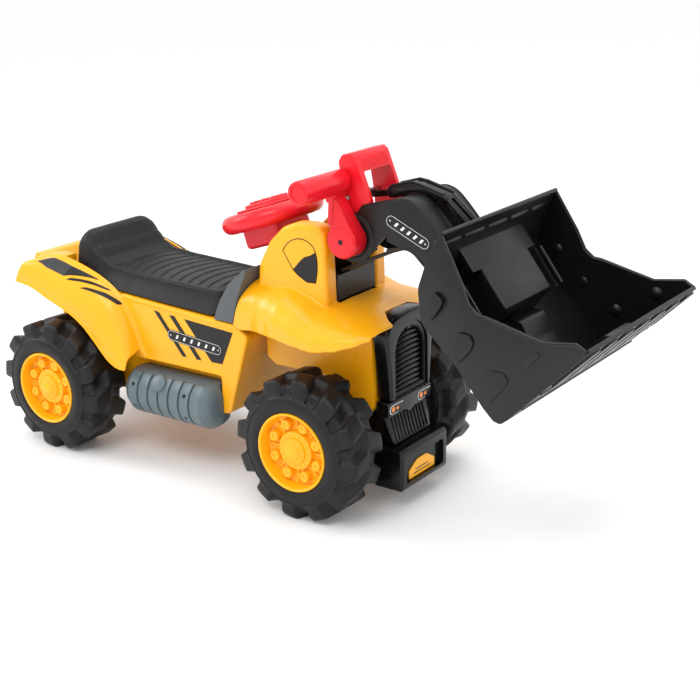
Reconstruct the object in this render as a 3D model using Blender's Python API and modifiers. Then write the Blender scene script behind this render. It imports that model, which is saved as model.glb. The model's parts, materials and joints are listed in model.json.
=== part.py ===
"""Ride-on digger: a foot-to-floor toy loader with a lever-worked bucket.

Metres, +Z up, +X forward (the bucket end), +Y to the rider's left.
Stations along the digger are measured from the rear axle, and all parts hang
from one empty that moves them, so that the world origin is on the floor under
the middle of the digger.
"""
import math

import bpy
import bmesh
from mathutils import Matrix, Vector

# ---- driving dimensions -----------------------------------------------------------------
WHEELBASE = 0.400
TYRE_RADIUS = 0.085
TYRE_INNER_Y = 0.0705
TYRE_OUTER_Y = 0.1390
HUB_RADIUS = 0.0475
AXLE_RADIUS = 0.0050
BUCKET_TIP_X = 0.7587
WALL = 0.003
GAP = 0.0004

# Joint centres, (x, z), from the rear axle and from the floor.
BOOM_PIVOT = (0.4196, 0.3143)
BUCKET_PIVOT = (0.5720, 0.2775)
LINK_ARM = (-0.0080, 0.0445)
KINGPIN_Y = 0.048
STEER_CENTRE = (0.2757, 0.3180)
STEER_TILT = math.radians(18.0)
STEER_FOOT_Z = 0.078
CRANK = 0.022
SEAT_HINGE = (0.2340, 0.2078)

AXLE_Z = TYRE_RADIUS
WHEEL_Y = (TYRE_INNER_Y + TYRE_OUTER_Y) / 2
WHEEL_HALF = (TYRE_OUTER_Y - TYRE_INNER_Y) / 2
MIDDLE_X = (BUCKET_TIP_X - TYRE_RADIUS) / 2
TIE_ROD_X = (STEER_CENTRE[0] + (STEER_CENTRE[1] - STEER_FOOT_Z) * math.tan(STEER_TILT)
             - CRANK * math.cos(STEER_TILT))
LINK_REAR = (BOOM_PIVOT[0] + LINK_ARM[0], BOOM_PIVOT[1] + LINK_ARM[1])
LINK_FRONT = (BUCKET_PIVOT[0] + LINK_ARM[0], BUCKET_PIVOT[1] + LINK_ARM[1])

# Body widths and levels.
PANEL_Y = 0.0780
HULL_Y = 0.0600
RIM_Y = 0.0802
SEAT_WELL_Y = 0.0762
FENDER_Y = 0.1120
SLOT_Y = 0.0382
CHEEK_Y = 0.0610
NECK_Y = 0.0363
BOOM_Y = 0.0435
TOP_BUCKET_Y = 0.1230
LOW_BUCKET_Y = 0.1315

# ---- scene ------------------------------------------------------------------------------
for old in list(bpy.data.objects):
    bpy.data.objects.remove(old, do_unlink=True)

PARTS = bpy.data.collections.new("ride_on_digger")
CUTTERS = bpy.data.collections.new("cutters")
bpy.context.scene.collection.children.link(PARTS)
bpy.context.scene.collection.children.link(CUTTERS)


def empty(name, x, y, z, parent=None):
    """An empty at a place given in the digger's own stations."""
    item = bpy.data.objects.new(name, None)
    item.empty_display_size = 0.02
    PARTS.objects.link(item)
    item["station"] = (x, y, z)
    item.parent = parent
    base = Vector(parent["station"]) if parent else Vector((MIDDLE_X, 0, 0))
    item.location = Vector((x, y, z)) - base
    return item


CHASSIS = empty("chassis", 0, 0, 0)


def material(name, colour, roughness, metallic=0.0):
    """A Principled material."""
    made = bpy.data.materials.new(name)
    made.use_nodes = True
    shader = made.node_tree.nodes["Principled BSDF"]
    shader.inputs["Base Color"].default_value = (*colour, 1.0)
    shader.inputs["Roughness"].default_value = roughness
    shader.inputs["Metallic"].default_value = metallic
    made.diffuse_color = (*colour, 1.0)
    return made


PAINTS = {
    "yellow": ((1.00, 0.55, 0.01), 0.30, 0.0),
    "black": ((0.020, 0.020, 0.022), 0.35, 0.0),
    "seat": ((0.025, 0.025, 0.027), 0.55, 0.0),
    "tyre": ((0.022, 0.022, 0.024), 0.60, 0.0),
    "grey": ((0.14, 0.16, 0.17), 0.45, 0.0),
    "tank": ((0.16, 0.21, 0.23), 0.42, 0.0),
    "red": ((0.80, 0.02, 0.04), 0.30, 0.0),
    "amber": ((0.90, 0.25, 0.02), 0.15, 0.0),
    "steel": ((0.55, 0.56, 0.58), 0.30, 1.0),
    "cell": ((0.10, 0.30, 0.20), 0.40, 0.2),
}


# ---- modelling helpers ------------------------------------------------------------------
def finish(obj, name, paint, parent=CHASSIS):
    """Name a part, give it its own material and hang it from its parent."""
    obj.name = name
    obj.data.name = name
    obj.data.materials.clear()
    obj.data.materials.append(material(name, *PAINTS[paint]))
    for face in obj.data.polygons:
        face.use_smooth = True
    obj.data.set_sharp_from_angle(angle=math.radians(35))
    PARTS.objects.link(obj)
    obj.parent = parent
    obj.location -= Vector(parent["station"])
    return obj


def tool(obj):
    """Make an object a hidden tool for Booleans."""
    obj.name = "tool_" + obj.name
    CUTTERS.objects.link(obj)
    obj.parent = CHASSIS
    obj.hide_render = True
    obj.display_type = 'WIRE'
    return obj


def boolean(obj, operation, *others):
    """Join or cut with other closed shapes."""
    for other in others:
        mod = obj.modifiers.new(operation.lower(), 'BOOLEAN')
        mod.operation = operation
        mod.solver = 'EXACT'
        mod.object = tool(other)
    return obj


def cut(obj, *others):
    return boolean(obj, 'DIFFERENCE', *others)


def join(obj, *others):
    return boolean(obj, 'UNION', *others)


def from_bmesh(bm, name="shape"):
    mesh = bpy.data.meshes.new(name)
    bm.to_mesh(mesh)
    bm.free()
    return bpy.data.objects.new(name, mesh)


def box(x, y, z, bevel=0.0):
    """A box from (low, high) along each axis."""
    bm = bmesh.new()
    bmesh.ops.create_cube(bm, size=1.0)
    size = Vector((x[1] - x[0], y[1] - y[0], z[1] - z[0]))
    bmesh.ops.scale(bm, vec=size, verts=bm.verts)
    if bevel:
        bmesh.ops.bevel(bm, geom=bm.edges[:], offset=bevel, segments=2, profile=0.5,
                        affect='EDGES', clamp_overlap=True)
    obj = from_bmesh(bm)
    obj.location = ((x[0] + x[1]) / 2, (y[0] + y[1]) / 2, (z[0] + z[1]) / 2)
    return obj


def rod(start, end, radius, sides=16, end_radius=None):
    """A round bar between two points."""
    start, end = Vector(start), Vector(end)
    bm = bmesh.new()
    bmesh.ops.create_cone(bm, cap_ends=True, segments=sides, radius1=radius,
                          radius2=end_radius or radius, depth=(end - start).length)
    obj = from_bmesh(bm)
    obj.rotation_euler = (end - start).to_track_quat('Z', 'Y').to_euler()
    obj.location = (start + end) / 2
    return obj


def turned(profile, centre, axis, steps=24):
    """Turn a closed (radius, height) profile about an axis through a centre."""
    bm = bmesh.new()
    verts = [bm.verts.new((r, 0, h)) for r, h in profile]
    for a, b in zip(verts, verts[1:] + verts[:1]):
        bm.edges.new((a, b))
    obj = from_bmesh(bm)
    screw = obj.modifiers.new("turn", 'SCREW')
    screw.steps = steps
    screw.render_steps = steps
    screw.use_merge_vertices = True
    screw.merge_threshold = 0.00001
    screw.use_smooth_shade = True
    obj.rotation_euler = Vector(axis).to_track_quat('Z', 'Y').to_euler()
    obj.location = centre
    return obj


def slab(outline, y, widths=None):
    """An (x, z) outline filled and given a thickness across the digger.

    widths gives each outline point its own half width, for a drafted shape.
    """
    curve = bpy.data.curves.new("outline", 'CURVE')
    curve.dimensions = '2D'
    curve.fill_mode = 'BOTH'
    curve.extrude = (y[1] - y[0]) / 2
    spline = curve.splines.new('POLY')
    spline.points.add(len(outline) - 1)
    for point, (px, pz) in zip(spline.points, outline):
        point.co = (px, pz, 0, 1)
    spline.use_cyclic_u = True
    holder = bpy.data.objects.new("outline", curve)
    CUTTERS.objects.link(holder)
    bpy.context.view_layer.update()
    seen = holder.evaluated_get(bpy.context.evaluated_depsgraph_get())
    mesh = bpy.data.meshes.new_from_object(seen)
    bpy.data.objects.remove(holder)
    bm = bmesh.new()
    bm.from_mesh(mesh)
    bpy.data.meshes.remove(mesh)
    bmesh.ops.remove_doubles(bm, verts=bm.verts, dist=0.00001)
    bmesh.ops.rotate(bm, verts=bm.verts, cent=(0, 0, 0), matrix=Matrix.Rotation(math.pi / 2, 3, 'X'))
    bmesh.ops.translate(bm, verts=bm.verts, vec=(0, (y[0] + y[1]) / 2, 0))
    if widths:
        for vert in bm.verts:
            vert.co.y = math.copysign(widths(vert.co.x, vert.co.z), vert.co.y)
    bmesh.ops.recalc_face_normals(bm, faces=bm.faces)
    return from_bmesh(bm)


def loft(sections, closed_ends=True, closed_rings=True):
    """Faces between rows of points."""
    bm = bmesh.new()
    rows = [[bm.verts.new(p) for p in row] for row in sections]
    count = len(rows[0])
    spans = count if closed_rings else count - 1
    for one, two in zip(rows, rows[1:]):
        for i in range(spans):
            j = (i + 1) % count
            bm.faces.new((one[i], one[j], two[j], two[i]))
    if closed_ends and closed_rings:
        bm.faces.new(rows[0][::-1])
        bm.faces.new(rows[-1])
    bmesh.ops.recalc_face_normals(bm, faces=bm.faces)
    return from_bmesh(bm)


def bevelled(obj, width, segments=2, angle=40):
    mod = obj.modifiers.new("round", 'BEVEL')
    mod.width = width
    mod.segments = segments
    mod.limit_method = 'ANGLE'
    mod.angle_limit = math.radians(angle)
    mod.use_clamp_overlap = True
    return obj


def arc(centre, radius, start, end, count):
    """Points on an arc, angles in degrees from +X towards +Z."""
    steps = [math.radians(start + (end - start) * i / count) for i in range(count + 1)]
    return [(centre[0] + radius * math.cos(a), centre[1] + radius * math.sin(a)) for a in steps]


def inset(outline, distance):
    """An outline moved inwards by a distance; its points run clockwise."""
    moved = []
    count = len(outline)
    for i, point in enumerate(outline):
        here = Vector(point)
        before = (here - Vector(outline[i - 1])).normalized()
        after = (Vector(outline[(i + 1) % count]) - here).normalized()
        normal_one = Vector((before.y, -before.x))
        normal_two = Vector((after.y, -after.x))
        middle = (normal_one + normal_two).normalized()
        moved.append(tuple(here + middle * distance / max(0.35, middle.dot(normal_one))))
    return moved


def interpolate(table, x):
    """A smooth value between the (x, value) pairs of a table."""
    if x <= table[0][0]:
        return table[0][1]
    for (x0, v0), (x1, v1) in zip(table, table[1:]):
        if x <= x1:
            t = (x - x0) / (x1 - x0)
            return v0 + (v1 - v0) * t
    return table[-1][1]


def sides():
    """The two sides of the digger: a name and the sign of Y."""
    return (("right", -1), ("left", 1))


def across(side, near, far):
    """A (low, high) range of Y on one side."""
    return (side * near, side * far) if side > 0 else (side * far, side * near)


# ---- rear body --------------------------------------------------------------------------
DECK_Z = 0.2150
DECK_SLOPE = 0.0600
HULL_FLOOR_Z = 0.0720
PANEL_FOOT_Z = 0.1310
TRIM_REAR = [(0.2420, 0.2010), (0.2460, 0.2120), (0.2527, 0.2263), (0.2683, 0.2494),
             (0.2893, 0.2670)]
TRIM_FRONT = [(0.2725, 0.2000), (0.2809, 0.2306), (0.2870, 0.2450), (0.2950, 0.2620)]
FENDER_RIM = [(-0.0600, 0.2400), (-0.0400, 0.2440), (-0.0200, 0.2465), (0.0060, 0.2420),
              (0.0290, 0.2360), (0.0520, 0.2280), (0.0720, 0.2180), (0.0865, 0.2070),
              (0.0957, 0.1950), (0.1046, 0.1800), (0.1118, 0.1650), (0.1200, 0.1420)]
FENDER_EDGE = [(-0.0737, 0.2105), (-0.0560, 0.2085), (-0.0400, 0.2055), (-0.0162, 0.1960),
               (0.0065, 0.1880), (0.0250, 0.1810), (0.0446, 0.1700), (0.0606, 0.1560),
               (0.0764, 0.1400), (0.0895, 0.1280), (0.1030, 0.1220), (0.1170, 0.1215)]
LEG_FRONT_X = (0.2600, 0.2925)


def lowered(line, distance):
    """An open line that runs towards +X, moved down along its normals."""
    moved = []
    for i, point in enumerate(line):
        ahead = Vector(line[min(i + 1, len(line) - 1)]) - Vector(line[max(i - 1, 0)])
        ahead.normalize()
        moved.append((point[0] + ahead.y * distance, point[1] - ahead.x * distance))
    return moved


def fender(side):
    """The flared rear mudguard: a bowed strip from the seat rim to the wheel-arch edge."""
    rows = []
    for (rim_x, rim_z), (edge_x, edge_z) in zip(lowered(FENDER_RIM, 0.0015), FENDER_EDGE):
        row = []
        for turn in (0, 30, 60, 90):
            a = math.radians(turn)
            y = PANEL_Y - 0.0010 + (FENDER_Y - PANEL_Y + 0.0010) * math.sin(a)
            mix = 1 - math.cos(a)
            row.append((rim_x + (edge_x - rim_x) * mix, side * y, rim_z + (edge_z - rim_z) * mix))
        rows.append(row)
    obj = loft(rows, closed_rings=False)
    thick = obj.modifiers.new("thick", 'SOLIDIFY')
    thick.thickness = WALL
    thick.offset = -1.0 if side < 0 else 1.0
    return obj


def deck(x):
    """Height of the sloping seat deck."""
    return DECK_Z - DECK_SLOPE * x


def rear_body():
    """The yellow tub: seat deck, side panels, rear mudguards and the front leg."""
    panel = [(0.0870, deck(0.0870)), (0.0800, 0.2000), (0.0800, 0.1750), (0.1100, PANEL_FOOT_Z),
             (0.2480, PANEL_FOOT_Z), (0.2440, 0.0800), (LEG_FRONT_X[0], 0.0830), (LEG_FRONT_X[1], 0.1860),
             (0.2720, 0.1990), (0.2400, deck(0.2400))]
    body = slab(panel, (-PANEL_Y, PANEL_Y))
    hull = slab([(-0.0450, 0.2280), (0.0150, 0.2180), (0.0800, 0.2140), (0.0840, 0.1980), (0.2500, 0.1930),
                 (0.2560, HULL_FLOOR_Z + 0.01), (0.2350, HULL_FLOOR_Z), (-0.0200, HULL_FLOOR_Z),
                 (-0.0450, 0.1000)], (-HULL_Y, HULL_Y))
    flank = ([(-0.0560, 0.2180)] + FENDER_RIM + [(0.1240, 0.1340), (0.1050, 0.1340), (0.0850, 0.1660),
             (0.0100, 0.1760), (-0.0450, 0.1800)])
    walls = [slab(flank, across(side, HULL_Y - 0.002, RIM_Y)) for _, side in sides()]
    tail = slab([(-0.0655, 0.2370), (-0.0610, 0.2412), (-0.0350, 0.2345), (-0.0300, 0.2190),
                 (-0.0590, 0.2105), (-0.0730, 0.2105)], (-PANEL_Y - 0.001, PANEL_Y + 0.001))
    join(body, hull, tail, *walls, fender(-1), fender(1))
    cut(body,
        box((0.0300, 0.2100), (-0.0500, 0.0500), (0.1020, 0.2600)),
        box((-0.0400, 0.2530), (-HULL_Y + WALL, HULL_Y - WALL), (0.0500, 0.0990)),
        box((-0.0400, 0.0260), (-HULL_Y + WALL, HULL_Y - WALL), (0.0950, 0.1995)),
        box((0.2140, 0.2480), (-HULL_Y + WALL, HULL_Y - WALL), (0.0950, 0.1960)),
        slab([(-0.0100, 0.2600), (-0.0085, 0.2025), (0.0190, 0.2025), (0.0210, deck(0.0210)),
              (0.0860, deck(0.0860)), (0.0860, 0.3000)], (-SEAT_WELL_Y, SEAT_WELL_Y)),
        slab([(0.2490, 0.0700), (0.2565, 0.0700), (0.2570, 0.0830), (0.2882, 0.1835), (0.2700, 0.1945),
              (0.2520, 0.1930)], (-PANEL_Y + WALL, PANEL_Y - WALL)),
        rod((0, -0.1, AXLE_Z), (0, 0.1, AXLE_Z), 0.0090, 24))
    hinge_x, hinge_z = SEAT_HINGE
    for _, side in sides():
        cut(body,
            box((0.1180, 0.2440), across(side, HULL_Y + WALL, PANEL_Y - WALL), (0.0500, 0.1950)),
            box((0.0000, 0.0850), across(side, HULL_Y + 0.0025, PANEL_Y - WALL), (0.1000, 0.1990)))
        lug = box((hinge_x - 0.0045, hinge_x + 0.0045), across(side, 0.0505, 0.0560),
                  (0.1985, hinge_z + 0.0040))
        join(body, lug)
        cut(body, rod((hinge_x, side * 0.0450, hinge_z), (hinge_x, side * 0.0580, hinge_z), 0.0025, 12))
    return finish(body, "rear_body", "yellow")


def saddle_trim():
    """The grey saddle between the seat and the cowl, with the collar for the column."""
    front = [(x - 0.0015, z + 0.0006) for x, z in reversed(TRIM_FRONT)]
    trim = slab(TRIM_REAR + [(0.2945, 0.2700)] + front, (-0.0785, 0.0785))
    lean = Vector((-math.sin(STEER_TILT), 0, math.cos(STEER_TILT)))
    centre = Vector((STEER_CENTRE[0], 0, STEER_CENTRE[1]))
    join(trim, rod(centre - lean * 0.0720, centre - lean * 0.0375, 0.0190, 24, 0.0150))
    cut(trim, rod(centre - lean * 0.1400, centre - lean * 0.0300, 0.0080, 20))
    return finish(trim, "saddle_trim", "grey")


# ---- cowl, nose and front trim ----------------------------------------------------------
COWL_TOP = [(0.270, 0.2580), (0.350, 0.2560), (0.372, 0.2480), (0.398, 0.2370), (0.430, 0.2330),
            (0.455, 0.2290), (0.476, 0.2230)]
COWL_EDGE = [(0.270, 0.1930), (0.321, 0.1995), (0.350, 0.2005), (0.385, 0.1980), (0.408, 0.1960),
             (0.436, 0.2010), (0.455, 0.2070), (0.476, 0.2150)]
COWL_HALF = [(0.270, 0.0790), (0.300, 0.0830), (0.325, 0.0930), (0.350, 0.1020), (0.380, 0.1070),
             (0.410, 0.1090), (0.440, 0.1070), (0.460, 0.1010), (0.476, 0.0880)]
CHEEK = [(0.2960, 0.2400), (0.3000, 0.2741), (0.3165, 0.3027), (0.3365, 0.3217), (0.3542, 0.3284),
         (0.3756, 0.3298), (0.3900, 0.3285), (0.3965, 0.3188), (0.3985, 0.2340)]
MOUNT_TOP_Z = 0.2685
MOUNT_REAR_X = 0.3290


def cowl_section(x):
    """One bow of the cowl across the digger at station x."""
    top = interpolate(COWL_TOP, x)
    edge = interpolate(COWL_EDGE, x)
    half = interpolate(COWL_HALF, x)
    row = []
    for step in range(-6, 7):
        a = math.radians(15 * step)
        flat = math.copysign(abs(math.sin(a)) ** 0.80, a)
        drop = abs(math.cos(a)) ** 0.55
        row.append((x, half * flat, edge + (top - edge) * drop))
    return row


def front_cowl():
    """The yellow bonnet with its front mudguards and the two cheeks beside the boom slot."""
    stations = (0.270, 0.290, 0.310, 0.330, 0.350, 0.370, 0.385, 0.400, 0.420, 0.440, 0.458, 0.476)
    cowl = loft([cowl_section(x) for x in stations], closed_rings=False)
    thick = cowl.modifiers.new("thick", 'SOLIDIFY')
    thick.thickness = WALL
    thick.offset = -1.0
    cheeks = [bevelled(slab(CHEEK, across(side, SLOT_Y, CHEEK_Y)), 0.010, 3) for _, side in sides()]
    join(cowl, *cheeks)
    trim_side = [(0.2300, 0.1700), (0.2730, 0.1700)] + TRIM_FRONT + [(0.2980, 0.2700), (0.2980, 0.3400),
                 (0.2300, 0.3400)]
    lean = Vector((-math.sin(STEER_TILT), 0, math.cos(STEER_TILT)))
    centre = Vector((STEER_CENTRE[0], 0, STEER_CENTRE[1]))
    cut(cowl, slab(trim_side, (-0.1200, 0.1200)),
        rod(centre - lean * 0.1400, centre - lean * 0.0300, 0.0205, 20),
        box((MOUNT_REAR_X - 0.0010, 0.4005), (-SLOT_Y, SLOT_Y), (0.1500, 0.4000)),
        slab([(0.2500, 0.1500), (0.2500, 0.1990), (0.2735, 0.1996), (0.2940, 0.1868), (0.2900, 0.1500)],
             (-0.1200, 0.1200)))
    return finish(cowl, "front_cowl", "yellow")


def front_frame():
    """The yellow nose box that carries the front axle, under the cowl."""
    side = [(0.2980, 0.1560), (0.2980, 0.2250), (0.3960, 0.2250), (0.4460, 0.2200), (0.4505, 0.2000),
            (0.4505, 0.1200), (0.4400, 0.1000), (0.4180, 0.1000), (0.4180, 0.1480), (0.3100, 0.1480)]
    frame = slab(side, (-0.0480, 0.0480))
    cut(frame, slab(inset(side, WALL), (-0.0450, 0.0450)),
        box((0.3000, 0.4100), (-0.0450, 0.0450), (0.1000, 0.1600)),
        box((0.4210, 0.4475), (-0.0450, 0.0450), (0.0900, 0.1600)),
        box((0.3350, 0.3955), (-0.0365, 0.0365), (0.2100, 0.2400)),
        box((0.2900, 0.3500), (-0.0150, 0.0150), (0.1400, 0.2400)))
    return finish(frame, "front_frame", "yellow")


def boom_mount():
    """The black block in the bonnet slot, with the tongue that holds the boom shaft."""
    px, pz = BOOM_PIVOT
    mount = bevelled(box((MOUNT_REAR_X, 0.3975), (-SLOT_Y + 0.0008, SLOT_Y - 0.0008),
                         (0.2255, MOUNT_TOP_Z)), 0.0012, 1)
    foot = box((0.3360, 0.3945), (-0.0360, 0.0360), (0.1900, 0.2300))
    tongue = slab([(0.3600, 0.2600), (0.3700, 0.2900)] + arc(BOOM_PIVOT, 0.0110, 140, -40, 8)
                  + [(0.4020, 0.2800), (0.3940, 0.2600)], (-0.0140, 0.0140))
    join(mount, foot, tongue)
    cut(mount, rod((px, -0.05, pz), (px, 0.05, pz), 0.0046, 20),
        box((0.3390, 0.3915), (-0.0330, 0.0330), (0.1800, 0.2620)))
    return finish(mount, "boom_mount", "black")


def grille():
    """The arched black radiator grille on the nose."""
    def arch(half, low, high):
        centre = (0.0, high - half)
        return [(-half, low)] + arc(centre, half, 180, 0, 12) + [(half, low)]

    def panel(points, x):
        obj = slab(points, x)
        obj.rotation_euler = (0, 0, math.pi / 2)
        return obj

    body = panel(arch(0.0430, 0.1280, 0.2225), (-0.4640, -0.4509))
    body = bevelled(body, 0.003, 2)
    cut(body, panel(arch(0.0310, 0.1350, 0.2115), (-0.4700, -0.4600)))
    louvres = [box((0.4585, 0.4625), (-0.0305, 0.0305), (z, z + 0.0035))
               for z in (0.1380 + 0.0065 * i for i in range(9))]
    join(body, *louvres)
    return finish(body, "grille", "black")


def lamp_strip():
    """The cross strip under the grille that holds the two lamps."""
    strip = box((0.4520, 0.4680), (-0.0450, 0.0450), (0.1100, 0.1276), 0.0012)
    for _, side in sides():
        cut(strip, box((0.4640, 0.4700), across(side, 0.0180, 0.0400), (0.1130, 0.1250)))
    return finish(strip, "lamp_strip", "black")


def lamp(label, side):
    lens = box((0.4645, 0.4700), across(side, 0.0184, 0.0396), (0.1134, 0.1246), 0.0020)
    return finish(lens, "lamp_" + label, "amber")


def front_skirt():
    """The black panel that slopes from the lamps to the bumper, on the nose."""
    skirt = slab([(0.4510, 0.1095), (0.4640, 0.1095), (0.4740, 0.0745), (0.4250, 0.0745), (0.4250, 0.0995),
                  (0.4400, 0.0995)], (-0.0430, 0.0430))
    cut(skirt, box((0.4100, 0.4560), (-0.0400, 0.0400), (0.0600, 0.0960)))
    return finish(skirt, "front_skirt", "black")


def front_bumper():
    """The black bumper box under the skirt."""
    side = [(0.4300, 0.0740), (0.4880, 0.0740), (0.4905, 0.0690), (0.4905, 0.0270), (0.4880, 0.0230),
            (0.4520, 0.0230), (0.4300, 0.0500)]
    bumper = bevelled(slab(side, (-0.0485, 0.0485)), 0.0030, 2)
    cut(bumper, slab([(0.4200, 0.0600), (0.4865, 0.0600), (0.4865, 0.0270), (0.4540, 0.0270),
                      (0.4200, 0.0300)], (-0.0445, 0.0445)))
    return finish(bumper, "front_bumper", "black")


# ---- tanks ------------------------------------------------------------------------------
TANK_Y = 0.0755
TANK_Z = 0.0915
TANK_RADIUS = 0.0325
TANK_X = (0.1010, 0.2500)


def side_tank(label, side):
    """A ribbed mock fuel tank under a side panel; its inner half is cut away by the hull."""
    half = (TANK_X[1] - TANK_X[0]) / 2
    ribs = []
    for i in range(6):
        h = half * (0.74 - 1.48 * i / 5)
        ribs += [(TANK_RADIUS, h + 0.0035), (TANK_RADIUS - 0.0020, h), (TANK_RADIUS, h - 0.0035)]
    profile = ([(0.0040, half), (TANK_RADIUS - 0.010, half), (TANK_RADIUS - 0.0015, half - 0.009)] + ribs
               + [(TANK_RADIUS - 0.0015, 0.009 - half), (TANK_RADIUS - 0.010, -half), (0.0040, -half)])
    tank = turned(profile, ((TANK_X[0] + TANK_X[1]) / 2, side * TANK_Y, TANK_Z), (1, 0, 0), 24)
    join(tank, rod((TANK_X[0] + 0.003, side * TANK_Y, TANK_Z), (TANK_X[1] - 0.003, side * TANK_Y, TANK_Z),
                   0.0080, 12))
    cut(tank, box((0.0500, 0.3000), across(side, 0.0200, HULL_Y + GAP), (0.0000, 0.2000)),
        box((0.0800, 0.2800), across(side, 0.0200, 0.1200), (PANEL_FOOT_Z - 0.0131, 0.2000)),
        box((0.2435, 0.3000), across(side, 0.0300, PANEL_Y + GAP), (0.0000, 0.2000)),
        box((0.1120, 0.2390), across(side, 0.0500, 0.0980), (0.0700, 0.1120)))
    return finish(tank, "side_tank_" + label, "tank")


def tank_cap(label, side):
    """The round filler cap on the tank's shoulder."""
    lean = Vector((0, side * math.cos(math.radians(38)), math.sin(math.radians(38))))
    foot = Vector((0.1650, side * TANK_Y, TANK_Z)) + lean * (TANK_RADIUS + GAP)
    cap = turned([(0.0005, 0.0035), (0.0095, 0.0035), (0.0110, 0.0020), (0.0110, 0.0), (0.0005, 0.0)],
                 foot, lean, 20)
    join(cap, rod(foot, foot + lean * 0.003, 0.002, 8))
    return finish(cap, "tank_cap_" + label, "tank")


# ---- wheels, axles and steering ---------------------------------------------------------
def wheel(end, label, side, x, parent):
    """A hollow moulded tyre on a dished hub, with a cap over the axle end."""
    centre = (x, side * WHEEL_Y, AXLE_Z)
    axis = (0, side, 0)
    w = WHEEL_HALF
    tyre = [(HUB_RADIUS, w), (0.0640, w), (TYRE_RADIUS, w - 0.0065), (TYRE_RADIUS, 0.0065 - w),
            (0.0640, -w), (HUB_RADIUS, -w), (HUB_RADIUS, WALL - w), (0.0630, WALL - w),
            (TYRE_RADIUS - WALL, 0.0085 - w), (TYRE_RADIUS - WALL, w - 0.0085), (0.0630, w - WALL),
            (HUB_RADIUS, w - WALL)]
    finish(turned(tyre, centre, axis, 36), "tyre_%s_%s" % (end, label), "tyre", parent)
    bore = AXLE_RADIUS + 0.0006
    rim = HUB_RADIUS - GAP
    hub = [(bore, 0.0275), (0.0220, 0.0275), (0.0240, 0.0200), (0.0405, 0.0200), (0.0435, w),
           (rim, w), (rim, -w), (rim - WALL, -w), (rim - WALL, 0.0165), (0.0115, 0.0165),
           (0.0115, -w), (bore, -w)]
    finish(turned(hub, centre, axis, 28), "hub_%s_%s" % (end, label), "yellow", parent)
    cap = rod((x, side * (WHEEL_Y + 0.0279), AXLE_Z), (x, side * (WHEEL_Y + 0.0335), AXLE_Z), 0.0115, 20,
              0.0085)
    finish(cap, "wheel_cap_%s_%s" % (end, label), "yellow", parent)


def rear_axle():
    """The steel rear axle and its two plastic bushes in the hull walls."""
    tip = WHEEL_Y + 0.0270
    finish(rod((0, -tip, AXLE_Z), (0, tip, AXLE_Z), AXLE_RADIUS, 20), "rear_axle", "steel")
    for label, side in sides():
        low = HULL_Y - WALL - 0.0035
        ring = [(AXLE_RADIUS + GAP, 0.0095), (0.0125, 0.0095), (0.0125, 0.0069), (0.0086, 0.0069),
                (0.0086, 0.0), (AXLE_RADIUS + GAP, 0.0)]
        finish(turned(ring, (0, side * low, AXLE_Z), (0, side, 0), 20), "axle_bush_" + label, "black")


def front_axle_beam():
    """The black cross beam in the nose; its forks hold the kingpins."""
    x = WHEELBASE
    beam = box((x - 0.0120, x + 0.0120), (-0.0340, 0.0340), (0.0685, 0.1015))
    post = box((x - 0.0075, x + 0.0075), (-0.0260, 0.0260), (0.0950, 0.1900))
    forks = [box((x - 0.0090, x + 0.0090), across(side, 0.0310, 0.0560), z)
             for _, side in sides() for z in ((0.0660, 0.0715), (0.0985, 0.1040))]
    join(beam, post, *forks)
    for _, side in sides():
        cut(beam, rod((x, side * KINGPIN_Y, 0.05), (x, side * KINGPIN_Y, 0.12), 0.0039, 16))
    return finish(beam, "front_axle_beam", "black")


def knuckle(label, side, parent):
    """A steering knuckle, its stub axle and the arm that runs back to the tie rod."""
    x, y = WHEELBASE, side * KINGPIN_Y
    body = box((x - 0.0085, x + 0.0085), across(side, 0.0400, 0.0560), (0.0720, 0.0980))
    arm = box((TIE_ROD_X - 0.0085, x - 0.0040), (y - 0.0075, y + 0.0075), (0.0850, 0.0895))
    stub = rod((x, side * 0.0555, AXLE_Z), (x, side * 0.0690, AXLE_Z), 0.0078, 16)
    join(body, arm, stub)
    cut(body, rod((x, y, 0.05), (x, y, 0.12), 0.0039, 16),
        rod((TIE_ROD_X, y, 0.07), (TIE_ROD_X, y, 0.10), 0.0050, 16),
        rod((x, side * 0.0500, AXLE_Z), (x, side * 0.0750, AXLE_Z), AXLE_RADIUS + GAP, 16))
    finish(body, "knuckle_" + label, "black", parent)
    tip = WHEEL_Y + 0.0270
    finish(rod((x, side * 0.0525, AXLE_Z), (x, side * tip, AXLE_Z), AXLE_RADIUS, 16),
           "stub_axle_" + label, "steel", parent)
    finish(rod((x, y, 0.0630), (x, y, 0.1070), 0.0035, 12), "kingpin_" + label, "steel")


def tie_rod(parent):
    """The track rod between the knuckle arms, with the slotted block for the crank."""
    bar = box((TIE_ROD_X - 0.0050, TIE_ROD_X + 0.0050), (-KINGPIN_Y - 0.006, KINGPIN_Y + 0.006),
              (0.0765, 0.0815))
    pins = [rod((TIE_ROD_X, side * KINGPIN_Y, 0.0790), (TIE_ROD_X, side * KINGPIN_Y, 0.0920), 0.0028, 12)
            for _, side in sides()]
    block = box((TIE_ROD_X - 0.0120, TIE_ROD_X + 0.0110), (-0.0090, 0.0090), (0.0760, 0.0820))
    join(bar, block, *pins)
    cut(bar, box((TIE_ROD_X - 0.0095, TIE_ROD_X + 0.0085), (-0.0038, 0.0038), (0.0700, 0.0950)))
    return finish(bar, "tie_rod", "steel", parent)


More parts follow.
